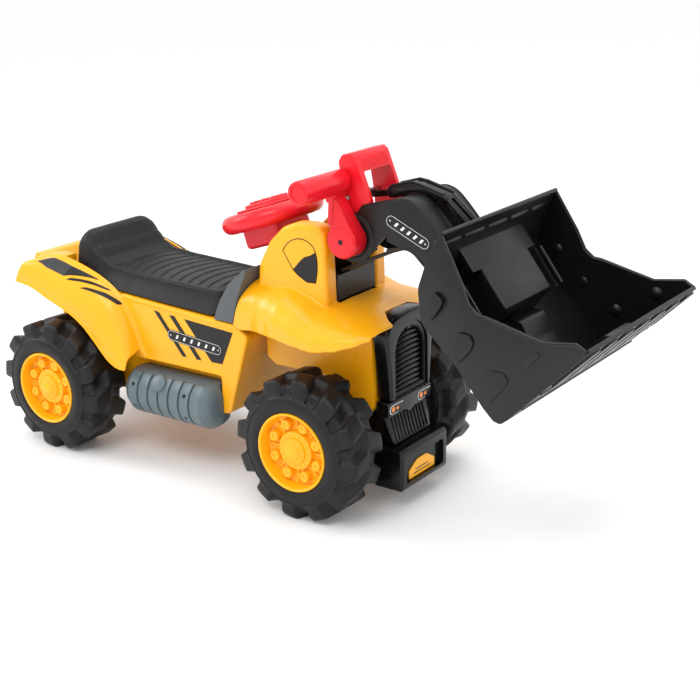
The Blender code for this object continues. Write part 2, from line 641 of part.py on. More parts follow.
def steering_rod(parent):
    """The steel column from the wheel down to its crank, which drives the tie rod."""
    lean = Vector((-math.sin(STEER_TILT), 0, math.cos(STEER_TILT)))
    back = Vector((-math.cos(STEER_TILT), 0, -math.sin(STEER_TILT)))
    top = Vector((STEER_CENTRE[0], 0, STEER_CENTRE[1]))
    foot = top - lean * ((STEER_CENTRE[1] - 0.0960) / math.cos(STEER_TILT))
    column = rod(foot, top - lean * 0.0080, 0.0050, 16)
    crank_end = foot + back * CRANK
    web = rod(foot - lean * 0.0005, crank_end - lean * 0.0005, 0.0042, 12)
    pin = rod(crank_end + lean * 0.001, crank_end - lean * 0.0170, 0.0026, 12)
    knob = rod(foot - lean * 0.0042, foot + lean * 0.006, 0.0062, 16)
    corner = rod(crank_end - lean * 0.0045, crank_end + lean * 0.0045, 0.0050, 12)
    join(column, knob, web, corner, pin)
    return finish(column, "steering_rod", "steel", parent)


WHEEL_RING = 0.0520
RING_TUBE = 0.0112
BUTTON_PLACES = (-0.0160, 0.0, 0.0160)


def tilted(obj):
    """Stand a shape, made about the origin, on the steering axis."""
    turn = Matrix.Rotation(-STEER_TILT, 4, 'Y')
    place = Matrix.Translation((STEER_CENTRE[0], 0, STEER_CENTRE[1]))
    obj.data.transform(place @ turn @ Matrix.LocRotScale(obj.location, obj.rotation_euler, None))
    obj.location = (0, 0, 0)
    obj.rotation_euler = (0, 0, 0)
    return obj


def steering_wheel(parent):
    """The red wheel: ring, two spokes and the hollow hub that holds the sound unit."""
    bm = bmesh.new()
    around = 28
    rows = []
    for i in range(around):
        a = 2 * math.pi * i / around
        ring = []
        for j in range(10):
            b = 2 * math.pi * j / 10
            r = WHEEL_RING + RING_TUBE * math.cos(b)
            ring.append(bm.verts.new((r * math.cos(a), r * math.sin(a), RING_TUBE * math.sin(b))))
        rows.append(ring)
    for i in range(around):
        one, two = rows[i], rows[(i + 1) % around]
        for j in range(10):
            k = (j + 1) % 10
            bm.faces.new((one[j], two[j], two[k], one[k]))
    bmesh.ops.recalc_face_normals(bm, faces=bm.faces)
    wheel_obj = tilted(from_bmesh(bm))
    hub = tilted(box((-0.0300, 0.0300), (-0.0330, 0.0330), (-0.0340, 0.0100), 0.0050))
    spokes = [tilted(box((-0.0110, 0.0110), across(side, 0.0300, 0.0500), (-0.0070, 0.0070), 0.002))
              for _, side in sides()]
    join(wheel_obj, hub, *spokes)
    cut(wheel_obj, tilted(box((-0.0270, 0.0270), (-0.0300, 0.0300), (-0.0300, 0.0200))),
        tilted(box((-0.0062, 0.0062), (-0.0062, 0.0062), (-0.0500, 0.0000))))
    finish(wheel_obj, "steering_wheel", "red", parent)
    panel = tilted(box((-0.0280, 0.0280), (-0.0310, 0.0310), (0.0104, 0.0180), 0.0020))
    socket = tilted(box((-0.0075, 0.0075), (-0.0075, 0.0075), (-0.0200, 0.0150)))
    join(panel, socket)
    for place in BUTTON_PLACES:
        hole = box((place - 0.0061, place + 0.0061), (-0.0161, 0.0161), (0.0145, 0.0300))
        cut(panel, tilted(hole))
    cut(panel, tilted(box((-0.0054, 0.0054), (-0.0054, 0.0054), (-0.0300, -0.0040))))
    finish(panel, "button_panel", "red", parent)


def sound_button(number, place, parent):
    """A sound button that sinks 1.5 mm into the wheel's panel."""
    key = tilted(box((place - 0.0055, place + 0.0055), (-0.0155, 0.0155), (0.0168, 0.0205), 0.0010))
    return finish(key, "sound_button_%d" % number, "amber" if number == 2 else "black", parent)


def sound_unit(parent):
    """What the hub holds: the sound module and its cell."""
    module = tilted(box((0.0090, 0.0255), (-0.0280, 0.0280), (-0.0285, -0.0110)))
    finish(module, "sound_module", "black", parent)
    cell = tilted(rod((-0.0175, -0.0245, -0.0200), (-0.0175, 0.0245, -0.0200), 0.0070, 16))
    finish(cell, "battery_1", "cell", parent)


# ---- seat -------------------------------------------------------------------------------
def seat_section(x, half, top, low, high, crown):
    """One ring of the seat at station x: flat under, tapered sides, crowned on top."""
    upper = [(-half, low + 0.003), (-top - 0.0010, high - 0.004), (-top + 0.0030, high),
             (-top * 0.5, high - crown), (0.0, high - crown * 1.3), (top * 0.5, high - crown),
             (top - 0.0030, high), (top + 0.0010, high - 0.004), (half, low + 0.003)]
    return [(x, y, z) for y, z in upper + [(half - 0.002, low), (-half + 0.002, low)]]


def seat_lid(parent):
    """The moulded seat: a lid over the storage box, hinged at its front edge, with a low backrest."""
    stations = [(-0.0045, 0.0640, 0.0600, 0.0150, 0.2560, 0.0), (-0.0015, 0.0680, 0.0625, 0.0070, 0.2680, 0.0),
                (0.0050, 0.0700, 0.0635, 0.0030, 0.2755, 0.0), (0.0120, 0.0710, 0.0635, 0.0010, 0.2765, 0.0),
                (0.0200, 0.0715, 0.0630, 0.0006, 0.2725, 0.0005), (0.0300, 0.0730, 0.0620, 0.0006, 0.2580, 0.002),
                (0.0400, 0.0740, 0.0608, 0.0006, 0.2460, 0.004), (0.0550, 0.0748, 0.0596, 0.0006, 0.2375, 0.005),
                (0.1000, 0.0752, 0.0590, 0.0006, 0.2337, 0.005), (0.1500, 0.0755, 0.0590, 0.0006, 0.2315, 0.005),
                (0.2000, 0.0750, 0.0588, 0.0006, 0.2297, 0.004), (0.2270, 0.0735, 0.0580, 0.0006, 0.2287, 0.002),
                (0.2345, 0.0700, 0.0560, 0.0012, 0.2275, 0.001), (0.2385, 0.0660, 0.0540, 0.0040, 0.2250, 0.0)]
    seat = loft([seat_section(x, half, top, deck(x) + lift, high, crown)
                 for x, half, top, lift, high, crown in stations])
    lip = box((0.0325, 0.2070), (-0.0470, 0.0470), (0.2000, 0.2190))
    well = box((0.0365, 0.2030), (-0.0430, 0.0430), (0.1900, 0.2215))
    hinge_x, hinge_z = SEAT_HINGE
    hollows = [box((0.0380, 0.2270), across(side, 0.0500, 0.0610), (0.1900, 0.2200)) for _, side in sides()]
    hollows.append(box((0.2100, 0.2290), (-0.0470, 0.0470), (0.1900, 0.2205)))
    notches = [box((0.2262, 0.2420), across(side, 0.0494, 0.0571), (0.1880, 0.2150)) for _, side in sides()]
    join(seat, lip)
    cut(seat, well, *hollows, *notches,
        rod((hinge_x, -0.06, hinge_z), (hinge_x, 0.06, hinge_z), 0.0026, 12))
    return finish(seat, "seat_lid", "seat", parent)


def seat_hinge():
    """The steel pin at the seat's front edge, held by two lugs on the deck."""
    x, z = SEAT_HINGE
    finish(rod((x, -0.0555, z), (x, 0.0555, z), 0.0021, 12), "seat_hinge_pin", "steel")


# ---- boom, levers and bucket ------------------------------------------------------------
BOOM_TOP = [(0.4700, 0.3625), (0.4778, 0.3658), (0.4908, 0.3680), (0.5035, 0.3660), (0.5158, 0.3575),
            (0.5368, 0.3350), (0.5560, 0.3110)]
BOOM_UNDER = [(0.5660, 0.2640), (0.5400, 0.2760), (0.5175, 0.2974), (0.5028, 0.3096), (0.4880, 0.3115),
              (0.4700, 0.3070)]
TAIL = [(0.4500, 0.2960), (0.4031, 0.2737), (0.4020, 0.2772), (0.4480, 0.2998)]
DRUM = 0.0295


def boom_shell(label, side, parent):
    """One half of the moulded boom: a side plate with the web that meets the other half."""
    wide = BOOM_TOP + arc(BUCKET_PIVOT, 0.0150, 50, -130, 8) + BOOM_UNDER
    shell = slab(wide, across(side, GAP, BOOM_Y))
    cut(shell, slab(inset(wide, WALL), across(side, -0.0100, BOOM_Y - WALL)))
    neck = (arc(BOOM_PIVOT, DRUM, 228, 80, 12)
            + [(0.4324, 0.3530), (0.4560, 0.3600), (0.4760, 0.3650), (0.4900, 0.3500), (0.4900, 0.3180),
               (0.4780, 0.3104), (0.4690, 0.3080), (0.4430, 0.2950)])
    plate = slab(neck, across(side, 0.0338, NECK_Y))
    tail = slab([(0.4760, 0.3085)] + TAIL + [(0.4710, 0.3120)], across(side, 0.0180, NECK_Y + 0.0004))
    join(shell, plate, tail)
    window = [(0.4685, 0.3160), (0.4680, 0.3240), (0.4900, 0.3160)]
    px, pz = BOOM_PIVOT
    bx, bz = BUCKET_PIVOT
    cut(shell, slab(window, across(side, 0.0050, 0.0600)),
        box((0.3800, 0.4860), across(side, -0.0100, 0.0334), (0.3160, 0.4000)),
        box((0.4600, 0.5480), across(side, -0.0100, 0.0125), (0.3320, 0.4000)),
        rod((px, -0.1, pz), (px, 0.1, pz), 0.0046, 20),
        rod((bx, -0.1, bz), (bx, 0.1, bz), 0.0044, 20))
    return finish(shell, "boom_shell_" + label, "black", parent)


def lift_lever(parent):
    """The red lever outside the boom's right plate, with a round cross grip."""
    px, pz = BOOM_PIVOT
    outline = arc(BOOM_PIVOT, 0.0195, 25, -215, 18) + [(0.3985, 0.3520), (0.3990, 0.3790), (0.4150, 0.3790),
                                                      (0.4155, 0.3660)]
    lever = bevelled(slab(outline, (-0.0595, -0.0368)), 0.0015, 1)
    gx, gz = 0.4060, 0.3778
    grip = bevelled(rod((gx, -0.1180, gz), (gx, -0.0368, gz), 0.0137, 24), 0.002, 2)
    join(lever, grip)
    cut(lever, rod((px, -0.07, pz), (px, -0.03, pz), 0.0030, 12))
    return finish(lever, "lift_lever", "red", parent)


def tilt_handle(parent):
    """The red D-shaped handle that tips the bucket; its legs turn on the boom shaft."""
    px, pz = BOOM_PIVOT
    outline = [(0.4080, 0.3230), (0.4065, 0.3480), (0.4045, 0.3640), (0.3992, 0.3980), (0.4035, 0.4055),
               (0.4170, 0.4095), (0.4225, 0.4055), (0.4420, 0.3560), (0.4325, 0.3180)]
    outline += arc(BOOM_PIVOT, 0.0125, 0, -150, 8)
    handle = bevelled(slab(outline, (-0.0330, 0.0330)), 0.0025, 2, 50)
    cut(handle, box((0.3800, 0.4600), (-0.0260, 0.0260), (0.2900, 0.3870)),
        rod((px, -0.05, pz), (px, 0.05, pz), 0.0046, 20),
        rod((LINK_REAR[0], -0.05, LINK_REAR[1]), (LINK_REAR[0], 0.05, LINK_REAR[1]), 0.0030, 12))
    return finish(handle, "tilt_handle", "red", parent)


def tilt_link(parent):
    """The black push link over the boom's crest, from the handle to the bucket."""
    rear, front = LINK_REAR, LINK_FRONT
    outline = (arc(rear, 0.0065, 290, 80, 8) + [(0.4400, 0.3700), (0.4634, 0.3748), (0.4797, 0.3788),
               (0.5240, 0.3690), (0.5290, 0.3640), (0.5520, 0.3420)] + arc(front, 0.0065, 50, -130, 8)
               + [(0.5430, 0.3390), (0.5270, 0.3550), (0.5200, 0.3600), (0.5000, 0.3700),
                  (0.4700, 0.3695), (0.4400, 0.3620)])
    link = slab(outline, (-0.0115, 0.0115))
    for x, z in (rear, front):
        cut(link, rod((x, -0.05, z), (x, 0.05, z), 0.0034, 12))
    return finish(link, "tilt_link", "black", parent)


BUCKET_BACK = [(0.5877, 0.3580), (0.5740, 0.3290), (0.5655, 0.3000), (0.5712, 0.2635), (0.6125, 0.2249),
               (0.6444, 0.1861), (0.6560, 0.1750), (0.6640, 0.1730), (0.6720, 0.1790), (0.7587, 0.2640)]
BUCKET_RIM = [(0.7443, 0.2714), (0.7090, 0.2664), (0.6453, 0.2817), (0.6350, 0.2828), (0.6247, 0.2913),
              (0.6148, 0.3132)]
POCKET_FACE = [(0.5760, 0.3300), (0.6249, 0.2660), (0.6040, 0.2390)]
POCKET_Y = 0.0470


def bucket_half_width(x, z):
    """The bucket widens from its top edge to its floor."""
    spread = min(1.0, max(0.0, (0.358 - z) / 0.08))
    return TOP_BUCKET_Y + (LOW_BUCKET_Y - TOP_BUCKET_Y) * spread


def bucket_inner_width(x, z):
    return bucket_half_width(x, z) - WALL


def bucket(parent):
    """The loader bucket: bent back, flat floor, side plates and the pocket for the boom's end."""
    outline = BUCKET_BACK + BUCKET_RIM
    shell = slab(outline, (-0.1, 0.1), bucket_half_width)
    back = BUCKET_BACK[::-1]
    inner = inset(back + [(0.5877, 0.4300), (0.8200, 0.4300), (0.8200, 0.2640)], WALL)[:len(back)]
    inner[0] = (0.7620, 0.2705)
    inner[-1] = (0.5915, 0.3600)
    cut(shell, slab(inner + [(0.6000, 0.4300), (0.8200, 0.4300), (0.8200, 0.2705)], (-0.1, 0.1),
                    bucket_inner_width))
    face = POCKET_FACE
    housing = slab([(0.5700, 0.3270)] + face + [(0.5900, 0.2475), (0.5700, 0.2650)],
                   (-POCKET_Y - WALL, POCKET_Y + WALL))
    hollow = slab([(0.5400, 0.3220), (0.5735, 0.3275), (0.6208, 0.2655), (0.6020, 0.2420), (0.5840, 0.2460),
                   (0.5600, 0.2540), (0.5400, 0.2600)], (-POCKET_Y, POCKET_Y))
    join(shell, housing)
    cut(shell, hollow)
    lx, lz = LINK_FRONT
    bx, bz = BUCKET_PIVOT
    ears = [slab(arc(LINK_FRONT, 0.0060, 70, 290, 8) + [(0.5705, 0.3105), (0.5768, 0.3320)],
                 across(side, 0.0130, 0.0175)) for _, side in sides()]
    join(shell, *ears)
    cut(shell, rod((lx, -0.05, lz), (lx, 0.05, lz), 0.0026, 12))
    bosses = [rod((bx, side * (POCKET_Y - 0.0020), bz), (bx, side * (POCKET_Y + 0.012), bz), 0.0090, 16)
              for _, side in sides()]
    join(shell, *bosses)
    cut(shell, rod((bx, -0.0530, bz), (bx, 0.0530, bz), 0.0044, 16))
    return finish(shell, "bucket", "black", parent)


def pins(boom, handle_body, bucket_body):
    """The steel shafts and pins of the boom, the handle, the link and the bucket."""
    px, pz = BOOM_PIVOT
    finish(rod((px, -0.0355, pz), (px, 0.0420, pz), 0.0040, 16), "boom_shaft", "steel", boom)
    finish(rod((px, -0.0610, pz), (px, -0.0360, pz), 0.0025, 12), "lever_screw", "steel", boom)
    rx, rz = LINK_REAR
    finish(rod((rx, -0.0325, rz), (rx, 0.0325, rz), 0.0026, 12), "handle_pin", "steel", handle_body)
    fx, fz = LINK_FRONT
    finish(rod((fx, -0.0190, fz), (fx, 0.0190, fz), 0.0022, 12), "link_pin", "steel", bucket_body)
    bx, bz = BUCKET_PIVOT
    finish(rod((bx, -0.0525, bz), (bx, 0.0525, bz), 0.0040, 16), "bucket_shaft", "steel", bucket_body)


# ---- the whole digger -------------------------------------------------------------------
def build():
    rear_body()
    saddle_trim()
    front_cowl()
    front_frame()
    boom_mount()
    grille()
    lamp_strip()
    front_skirt()
    front_bumper()
    rear_axle()
    front_axle_beam()
    seat_hinge()
    for label, side in sides():
        lamp(label, side)
        side_tank(label, side)
        tank_cap(label, side)
        wheel("rear", label, side, 0.0, empty("spin_rear_" + label, 0, side * WHEEL_Y, AXLE_Z, CHASSIS))
        steer = empty("kingpin_axis_" + label, WHEELBASE, side * KINGPIN_Y, AXLE_Z, CHASSIS)
        knuckle(label, side, steer)
        wheel("front", label, side, WHEELBASE,
              empty("spin_front_" + label, WHEELBASE, side * WHEEL_Y, AXLE_Z, steer))
    tie_rod(empty("tie_rod_slide", TIE_ROD_X, 0, 0.080, CHASSIS))
    column = empty("steering_axis", STEER_CENTRE[0], 0, STEER_CENTRE[1], CHASSIS)
    steering_rod(column)
    steering_wheel(column)
    sound_unit(column)
    for number, place in enumerate(BUTTON_PLACES, 1):
        sound_button(number, place, column)
    seat_lid(empty("seat_axis", SEAT_HINGE[0], 0, SEAT_HINGE[1], CHASSIS))
    boom = empty("boom_axis", BOOM_PIVOT[0], 0, BOOM_PIVOT[1], CHASSIS)
    handle_axis = empty("handle_axis", BOOM_PIVOT[0], 0, BOOM_PIVOT[1], boom)
    link_axis = empty("link_axis", LINK_REAR[0], 0, LINK_REAR[1], handle_axis)
    bucket_axis = empty("bucket_axis", BUCKET_PIVOT[0], 0, BUCKET_PIVOT[1], boom)
    for label, side in sides():
        boom_shell(label, side, boom)
    lift_lever(boom)
    tilt_handle(handle_axis)
    tilt_link(link_axis)
    bucket(bucket_axis)
    pins(boom, handle_axis, bucket_axis)


build()
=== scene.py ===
"""Looks of the ride-on digger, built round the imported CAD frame.

Shapes are made in stations: metres forward of the rear axle, left of the middle and up
from the floor. put() moves each finished piece from there into the row frame.
"""
import json
import math

import bmesh
import bpy
from mathutils import Matrix, Vector


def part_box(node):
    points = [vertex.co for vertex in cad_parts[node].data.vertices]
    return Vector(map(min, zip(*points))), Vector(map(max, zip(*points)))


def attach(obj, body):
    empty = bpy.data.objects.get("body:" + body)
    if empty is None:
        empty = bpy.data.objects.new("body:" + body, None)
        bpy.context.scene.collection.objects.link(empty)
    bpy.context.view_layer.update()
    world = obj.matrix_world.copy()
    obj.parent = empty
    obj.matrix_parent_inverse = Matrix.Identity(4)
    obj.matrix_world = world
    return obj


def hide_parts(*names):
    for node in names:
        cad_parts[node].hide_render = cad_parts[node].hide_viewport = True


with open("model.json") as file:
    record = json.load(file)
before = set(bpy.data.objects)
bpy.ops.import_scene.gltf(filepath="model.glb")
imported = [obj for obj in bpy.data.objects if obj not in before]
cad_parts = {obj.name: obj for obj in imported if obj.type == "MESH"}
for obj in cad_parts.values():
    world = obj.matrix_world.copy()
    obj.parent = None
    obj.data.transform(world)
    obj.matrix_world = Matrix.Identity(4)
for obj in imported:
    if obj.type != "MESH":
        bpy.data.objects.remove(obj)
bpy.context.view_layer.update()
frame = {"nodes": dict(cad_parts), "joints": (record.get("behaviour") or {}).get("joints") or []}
NODES = frame["nodes"]


def centre_of(node):
    low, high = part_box(node)
    return (low + high) / 2


REAR_X = centre_of("tyre_rear_right").x
WHEELBASE = centre_of("tyre_front_right").x - REAR_X
AXLE_Z = centre_of("tyre_rear_right").z
WHEEL_Y = centre_of("tyre_rear_left").y
TYRE_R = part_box("tyre_rear_left")[1].z / 2
TYRE_HALF = (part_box("tyre_rear_left")[1].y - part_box("tyre_rear_left")[0].y) / 2
JOINTS = {joint["name"]: joint for joint in frame["joints"]}


def joint_station(name):
    x, _, z = JOINTS[name]["pos_m"]
    return (x - REAR_X, z)


BOOM_PIVOT = joint_station("boom_lift")
BUCKET_PIVOT = joint_station("bucket_tilt")
LINK_REAR = joint_station("link_swing")
LINK_FRONT = (LINK_REAR[0] + BUCKET_PIVOT[0] - BOOM_PIVOT[0],
              LINK_REAR[1] + BUCKET_PIVOT[1] - BOOM_PIVOT[1])
STEER = joint_station("steering_turn")
STEER_TILT = math.asin(-JOINTS["steering_turn"]["axis"][0])
WALL = 0.003
PANEL_Y = 0.078
SLOT_Y = 0.0382
CHEEK_Y = 0.061


# ---- materials --------------------------------------------------------------------------
GLOSS_SPREAD = 0.05
GRAIN_DEPTH = 0.0008


def sockets(node, *settings):
    for name, value in settings:
        node.inputs[name].default_value = value


def plastic(name, colour, rough, grain=0.08, scale=900.0, tone=0.06, coat=0.0, shine=0.5):
    """Moulded plastic: slow colour drift, uneven gloss and a fine grain in the bump."""
    made = bpy.data.materials.new(name)
    made.use_nodes = True
    made.diffuse_color = (*colour, 1.0)
    nodes, links = made.node_tree.nodes, made.node_tree.links
    shader = nodes["Principled BSDF"]
    sockets(shader, ("Specular IOR Level", shine))
    if coat:
        sockets(shader, ("Coat Weight", coat), ("Coat Roughness", 0.12))
    place = nodes.new("ShaderNodeTexCoord")

    def noise(size, detail):
        node = nodes.new("ShaderNodeTexNoise")
        sockets(node, ("Scale", size), ("Detail", detail))
        links.new(place.outputs["Object"], node.inputs["Vector"])
        return node.outputs["Fac"]

    drift = nodes.new("ShaderNodeValToRGB")
    low = [c * (1 - tone) for c in colour]
    high = [min(1.0, c * (1 + tone)) for c in colour]
    for stop, spot, shade in zip(drift.color_ramp.elements, (0.3, 0.7), (low, high)):
        stop.position = spot
        stop.color = (*shade, 1.0)
    links.new(noise(14.0, 3.0), drift.inputs["Fac"])
    links.new(drift.outputs["Color"], shader.inputs["Base Color"])
    gloss = nodes.new("ShaderNodeMapRange")
    sockets(gloss, ("From Min", 0.25), ("From Max", 0.75), ("To Min", max(0.05, rough - GLOSS_SPREAD)),
            ("To Max", rough + GLOSS_SPREAD))
    links.new(noise(55.0, 4.0), gloss.inputs["Value"])
    links.new(gloss.outputs["Result"], shader.inputs["Roughness"])
    bump = nodes.new("ShaderNodeBump")
    sockets(bump, ("Strength", grain), ("Distance", GRAIN_DEPTH))
    links.new(noise(scale, 2.0), bump.inputs["Height"])
    links.new(bump.outputs["Normal"], shader.inputs["Normal"])
    return made


def metal(name, colour, rough):
    """Zinc-plated steel: the moulded-plastic finish made metallic, with a fine noise grain."""
    made = plastic(name, colour, rough, grain=0.1, scale=600.0, tone=0.1)
    sockets(made.node_tree.nodes["Principled BSDF"], ("Metallic", 1.0))
    return made


YELLOW = plastic("yellow_moulded", (0.93, 0.415, 0.005), 0.3, 0.04, 500.0, 0.03, 0.1, shine=0.4)
HUB_YELLOW = plastic("yellow_hub", (0.93, 0.43, 0.005), 0.36, 0.05, 700.0, 0.04, shine=0.4)
TYRE = plastic("tyre_black", (0.0055, 0.0055, 0.0062), 0.46, 0.14, 700.0, 0.12, shine=0.3)
BLACK = plastic("black_gloss", (0.003, 0.003, 0.0034), 0.24, 0.05, 420.0, 0.1, shine=0.32)
BOOM_BLACK = plastic("black_boom", (0.006, 0.0058, 0.0058), 0.38, 0.08, 700.0, 0.1, shine=0.34)
SCOOP = plastic("black_bucket", (0.0052, 0.0052, 0.0056), 0.34, 0.07, 420.0, 0.12, shine=0.36)
INNER = plastic("black_inner", (0.01, 0.01, 0.011), 0.5, 0.12, 700.0, 0.1, shine=0.3)
SEAT = plastic("seat_black", (0.007, 0.0075, 0.0072), 0.46, 0.2, 1500.0, 0.1, shine=0.28)
GREY = plastic("slate_grey", (0.085, 0.096, 0.102), 0.42, 0.16, 1300.0, 0.05, shine=0.4)
TANK = plastic("blue_grey", (0.105, 0.145, 0.162), 0.36, 0.08, 700.0, 0.05, shine=0.45)
RED = plastic("red_moulded", (0.72, 0.0075, 0.018), 0.3, 0.04, 500.0, 0.03, 0.08, shine=0.35)
AMBER = plastic("amber_lens", (0.9, 0.26, 0.015), 0.18, 0.04, 500.0, 0.08, 0.4)
STEEL = metal("zinc_steel", (0.56, 0.57, 0.6), 0.3)
CELL = plastic("cell_wrap", (0.08, 0.26, 0.16), 0.35)
DECAL = plastic("decal_black", (0.01, 0.0095, 0.0095), 0.38, 0.03, 900.0, 0.1, shine=0.3)
DECAL_GREY = plastic("decal_grey", (0.034, 0.035, 0.037), 0.4, 0.03, 900.0, 0.1, shine=0.3)
DECAL_WHITE = plastic("decal_white", (0.8, 0.8, 0.78), 0.4, 0.03, 900.0, 0.03)


# ---- making and placing shapes ----------------------------------------------------------
def made_from(bm, name):
    mesh = bpy.data.meshes.new(name)
    bm.to_mesh(mesh)
    bm.free()
    obj = bpy.data.objects.new(name, mesh)
    bpy.context.scene.collection.objects.link(obj)
    return obj


def mod(obj, kind, **settings):
    modifier = obj.modifiers.new(kind.lower(), kind)
    for key, value in settings.items():
        setattr(modifier, key, value)
    return obj


def baked(obj):
    """Fix an object's modifiers into its mesh."""
    bpy.context.view_layer.update()
    seen = obj.evaluated_get(bpy.context.evaluated_depsgraph_get())
    mesh = bpy.data.meshes.new_from_object(seen)
    obj.modifiers.clear()
    obj.data = mesh
    return obj


def rounded(obj, width, segments=3, angle=35):
    """Bevel the sharp edges and fix the result."""
    mod(obj, 'BEVEL', width=width, segments=segments, limit_method='ANGLE',
        angle_limit=math.radians(angle), use_clamp_overlap=True, miter_outer='MITER_ARC')
    return baked(obj)


def combine(obj, operation, others):
    for other in others:
        mod(obj, 'BOOLEAN', operation=operation, solver='EXACT', object=other)
        baked(obj)
        bpy.data.objects.remove(other)
    return obj


def union(obj, *others):
    return combine(obj, 'UNION', others)


def cut(obj, *others):
    return combine(obj, 'DIFFERENCE', others)


def merged(name, *objs):
    """Several shapes as one piece, without joining their surfaces."""
    bm = bmesh.new()
    for obj in objs:
        obj.data.transform(obj.matrix_world)
        bm.from_mesh(obj.data)
        bpy.data.objects.remove(obj)
    return made_from(bm, name)


def put(obj, body, slot, material, *replaced, angle=32):
    """Finish a piece: move it to the row frame, paint it and hang it on its body."""
    obj.data.transform(Matrix.Translation((REAR_X, 0, 0)) @ obj.matrix_basis)
    obj.matrix_basis = Matrix.Identity(4)
    obj.data.materials.clear()
    obj.data.materials.append(material)
    for face in obj.data.polygons:
        face.use_smooth = True
    obj.data.set_sharp_from_angle(angle=math.radians(angle))
    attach(obj, body)
    if replaced:
        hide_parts(*replaced)
    return obj


def box(x, y, z, bevel=0.0, segments=3, name="box"):
    bm = bmesh.new()
    bmesh.ops.create_cube(bm, size=1.0)
    bmesh.ops.scale(bm, vec=(x[1] - x[0], y[1] - y[0], z[1] - z[0]), verts=bm.verts)
    bmesh.ops.translate(bm, vec=((x[0] + x[1]) / 2, (y[0] + y[1]) / 2, (z[0] + z[1]) / 2),
                        verts=bm.verts)
    if bevel:
        bmesh.ops.bevel(bm, geom=bm.edges[:], offset=bevel, segments=segments, profile=0.5,
                        affect='EDGES', clamp_overlap=True)
    return made_from(bm, name)


def both(half):
    """A span as wide to each side of the middle."""
    return (-half, half)


def around(middle, half):
    """A span as wide to each side of a given middle."""
    return (middle - half, middle + half)


def prism(outline, y0, y1, name="prism", widths=None):
    """A flat outline in (x, z), given thickness from y0 to y1."""
    bm = bmesh.new()
    rows = []
    for y in (y0, y1):
        row = []
        for x, z in outline:
            side = math.copysign(widths(x, z), y) if widths else y
            row.append(bm.verts.new((x, side, z)))
        rows.append(row)
    count = len(outline)
    for i in range(count):
        j = (i + 1) % count
        bm.faces.new((rows[0][i], rows[0][j], rows[1][j], rows[1][i]))
    bm.faces.new(rows[0][::-1])
    bm.faces.new(rows[1])
    bmesh.ops.recalc_face_normals(bm, faces=bm.faces)
    return made_from(bm, name)


def fillet(points, radius, steps=4):
    """Round the corners of an outline; radius is one number or one per corner."""
    count = len(points)
    radii = radius if isinstance(radius, (list, tuple)) else [radius] * count
    line = []
    for i, point in enumerate(points):
        here = Vector(point)
        to_last = Vector(points[i - 1]) - here
        to_next = Vector(points[(i + 1) % count]) - here
        angle = to_last.angle(to_next)
        if radii[i] <= 0 or angle > math.radians(172):
            line.append(tuple(here))
            continue
        reach = min(radii[i] / math.tan(angle / 2), to_last.length * 0.48, to_next.length * 0.48)
        start = here + to_last.normalized() * reach
        end = here + to_next.normalized() * reach
        for k in range(steps + 1):
            t = k / steps
            line.append(tuple(start * (1 - t) ** 2 + here * 2 * t * (1 - t) + end * t ** 2))
    return line


def on_line(points, s):
    """A point on the smooth line through control points; s counts the spans."""
    points = [Vector(p) for p in points]
    ends = [points[0] * 2 - points[1]] + points + [points[-1] * 2 - points[-2]]
    i = min(int(s), len(points) - 2)
    t = s - i
    a, b, c, d = ends[i:i + 4]
    return 0.5 * (2 * b + (c - a) * t + (2 * a - 5 * b + 4 * c - d) * t ** 2
                  + (3 * b - a - 3 * c + d) * t ** 3)


def smooth_line(points, count):
    """An open outline through control points, evenly sampled by parameter."""
    return [tuple(on_line(points, k / count * (len(points) - 1))) for k in range(count + 1)]


def arc(centre, radius, start, end, steps):
    turns = [math.radians(start + (end - start) * i / steps) for i in range(steps + 1)]
    return [(centre[0] + radius * math.cos(a), centre[1] + radius * math.sin(a)) for a in turns]


def ease(t):
    """A soft step from 0 to 1 as t goes from 0 to 1."""
    t = min(1.0, max(0.0, t))
    return t * t * (3 - 2 * t)


def value_at(table, x):
    """A smooth value between a table's (x, value) pairs."""
    if x <= table[0][0]:
        return table[0][1]
    for (x0, v0), (x1, v1) in zip(table, table[1:]):
        if x <= x1:
            t = (x - x0) / (x1 - x0)
            return v0 + (v1 - v0) * (t * t * (3 - 2 * t) * 0.5 + t * 0.5)
    return table[-1][1]


def skin(rows, name="skin", caps=True, loop=False):
    """Quads between closed rows of points, with capped ends or joined up into a loop."""
    bm = bmesh.new()
    lines = [[bm.verts.new(p) for p in row] for row in rows]
    count = len(lines[0])
    for one, two in zip(lines, lines[1:] + (lines[:1] if loop else [])):
        for i in range(count):
            j = (i + 1) % count
            bm.faces.new((one[i], one[j], two[j], two[i]))
    if caps and not loop:
        bm.faces.new(lines[0][::-1])
        bm.faces.new(lines[-1])
    bmesh.ops.recalc_face_normals(bm, faces=bm.faces)
    return made_from(bm, name)


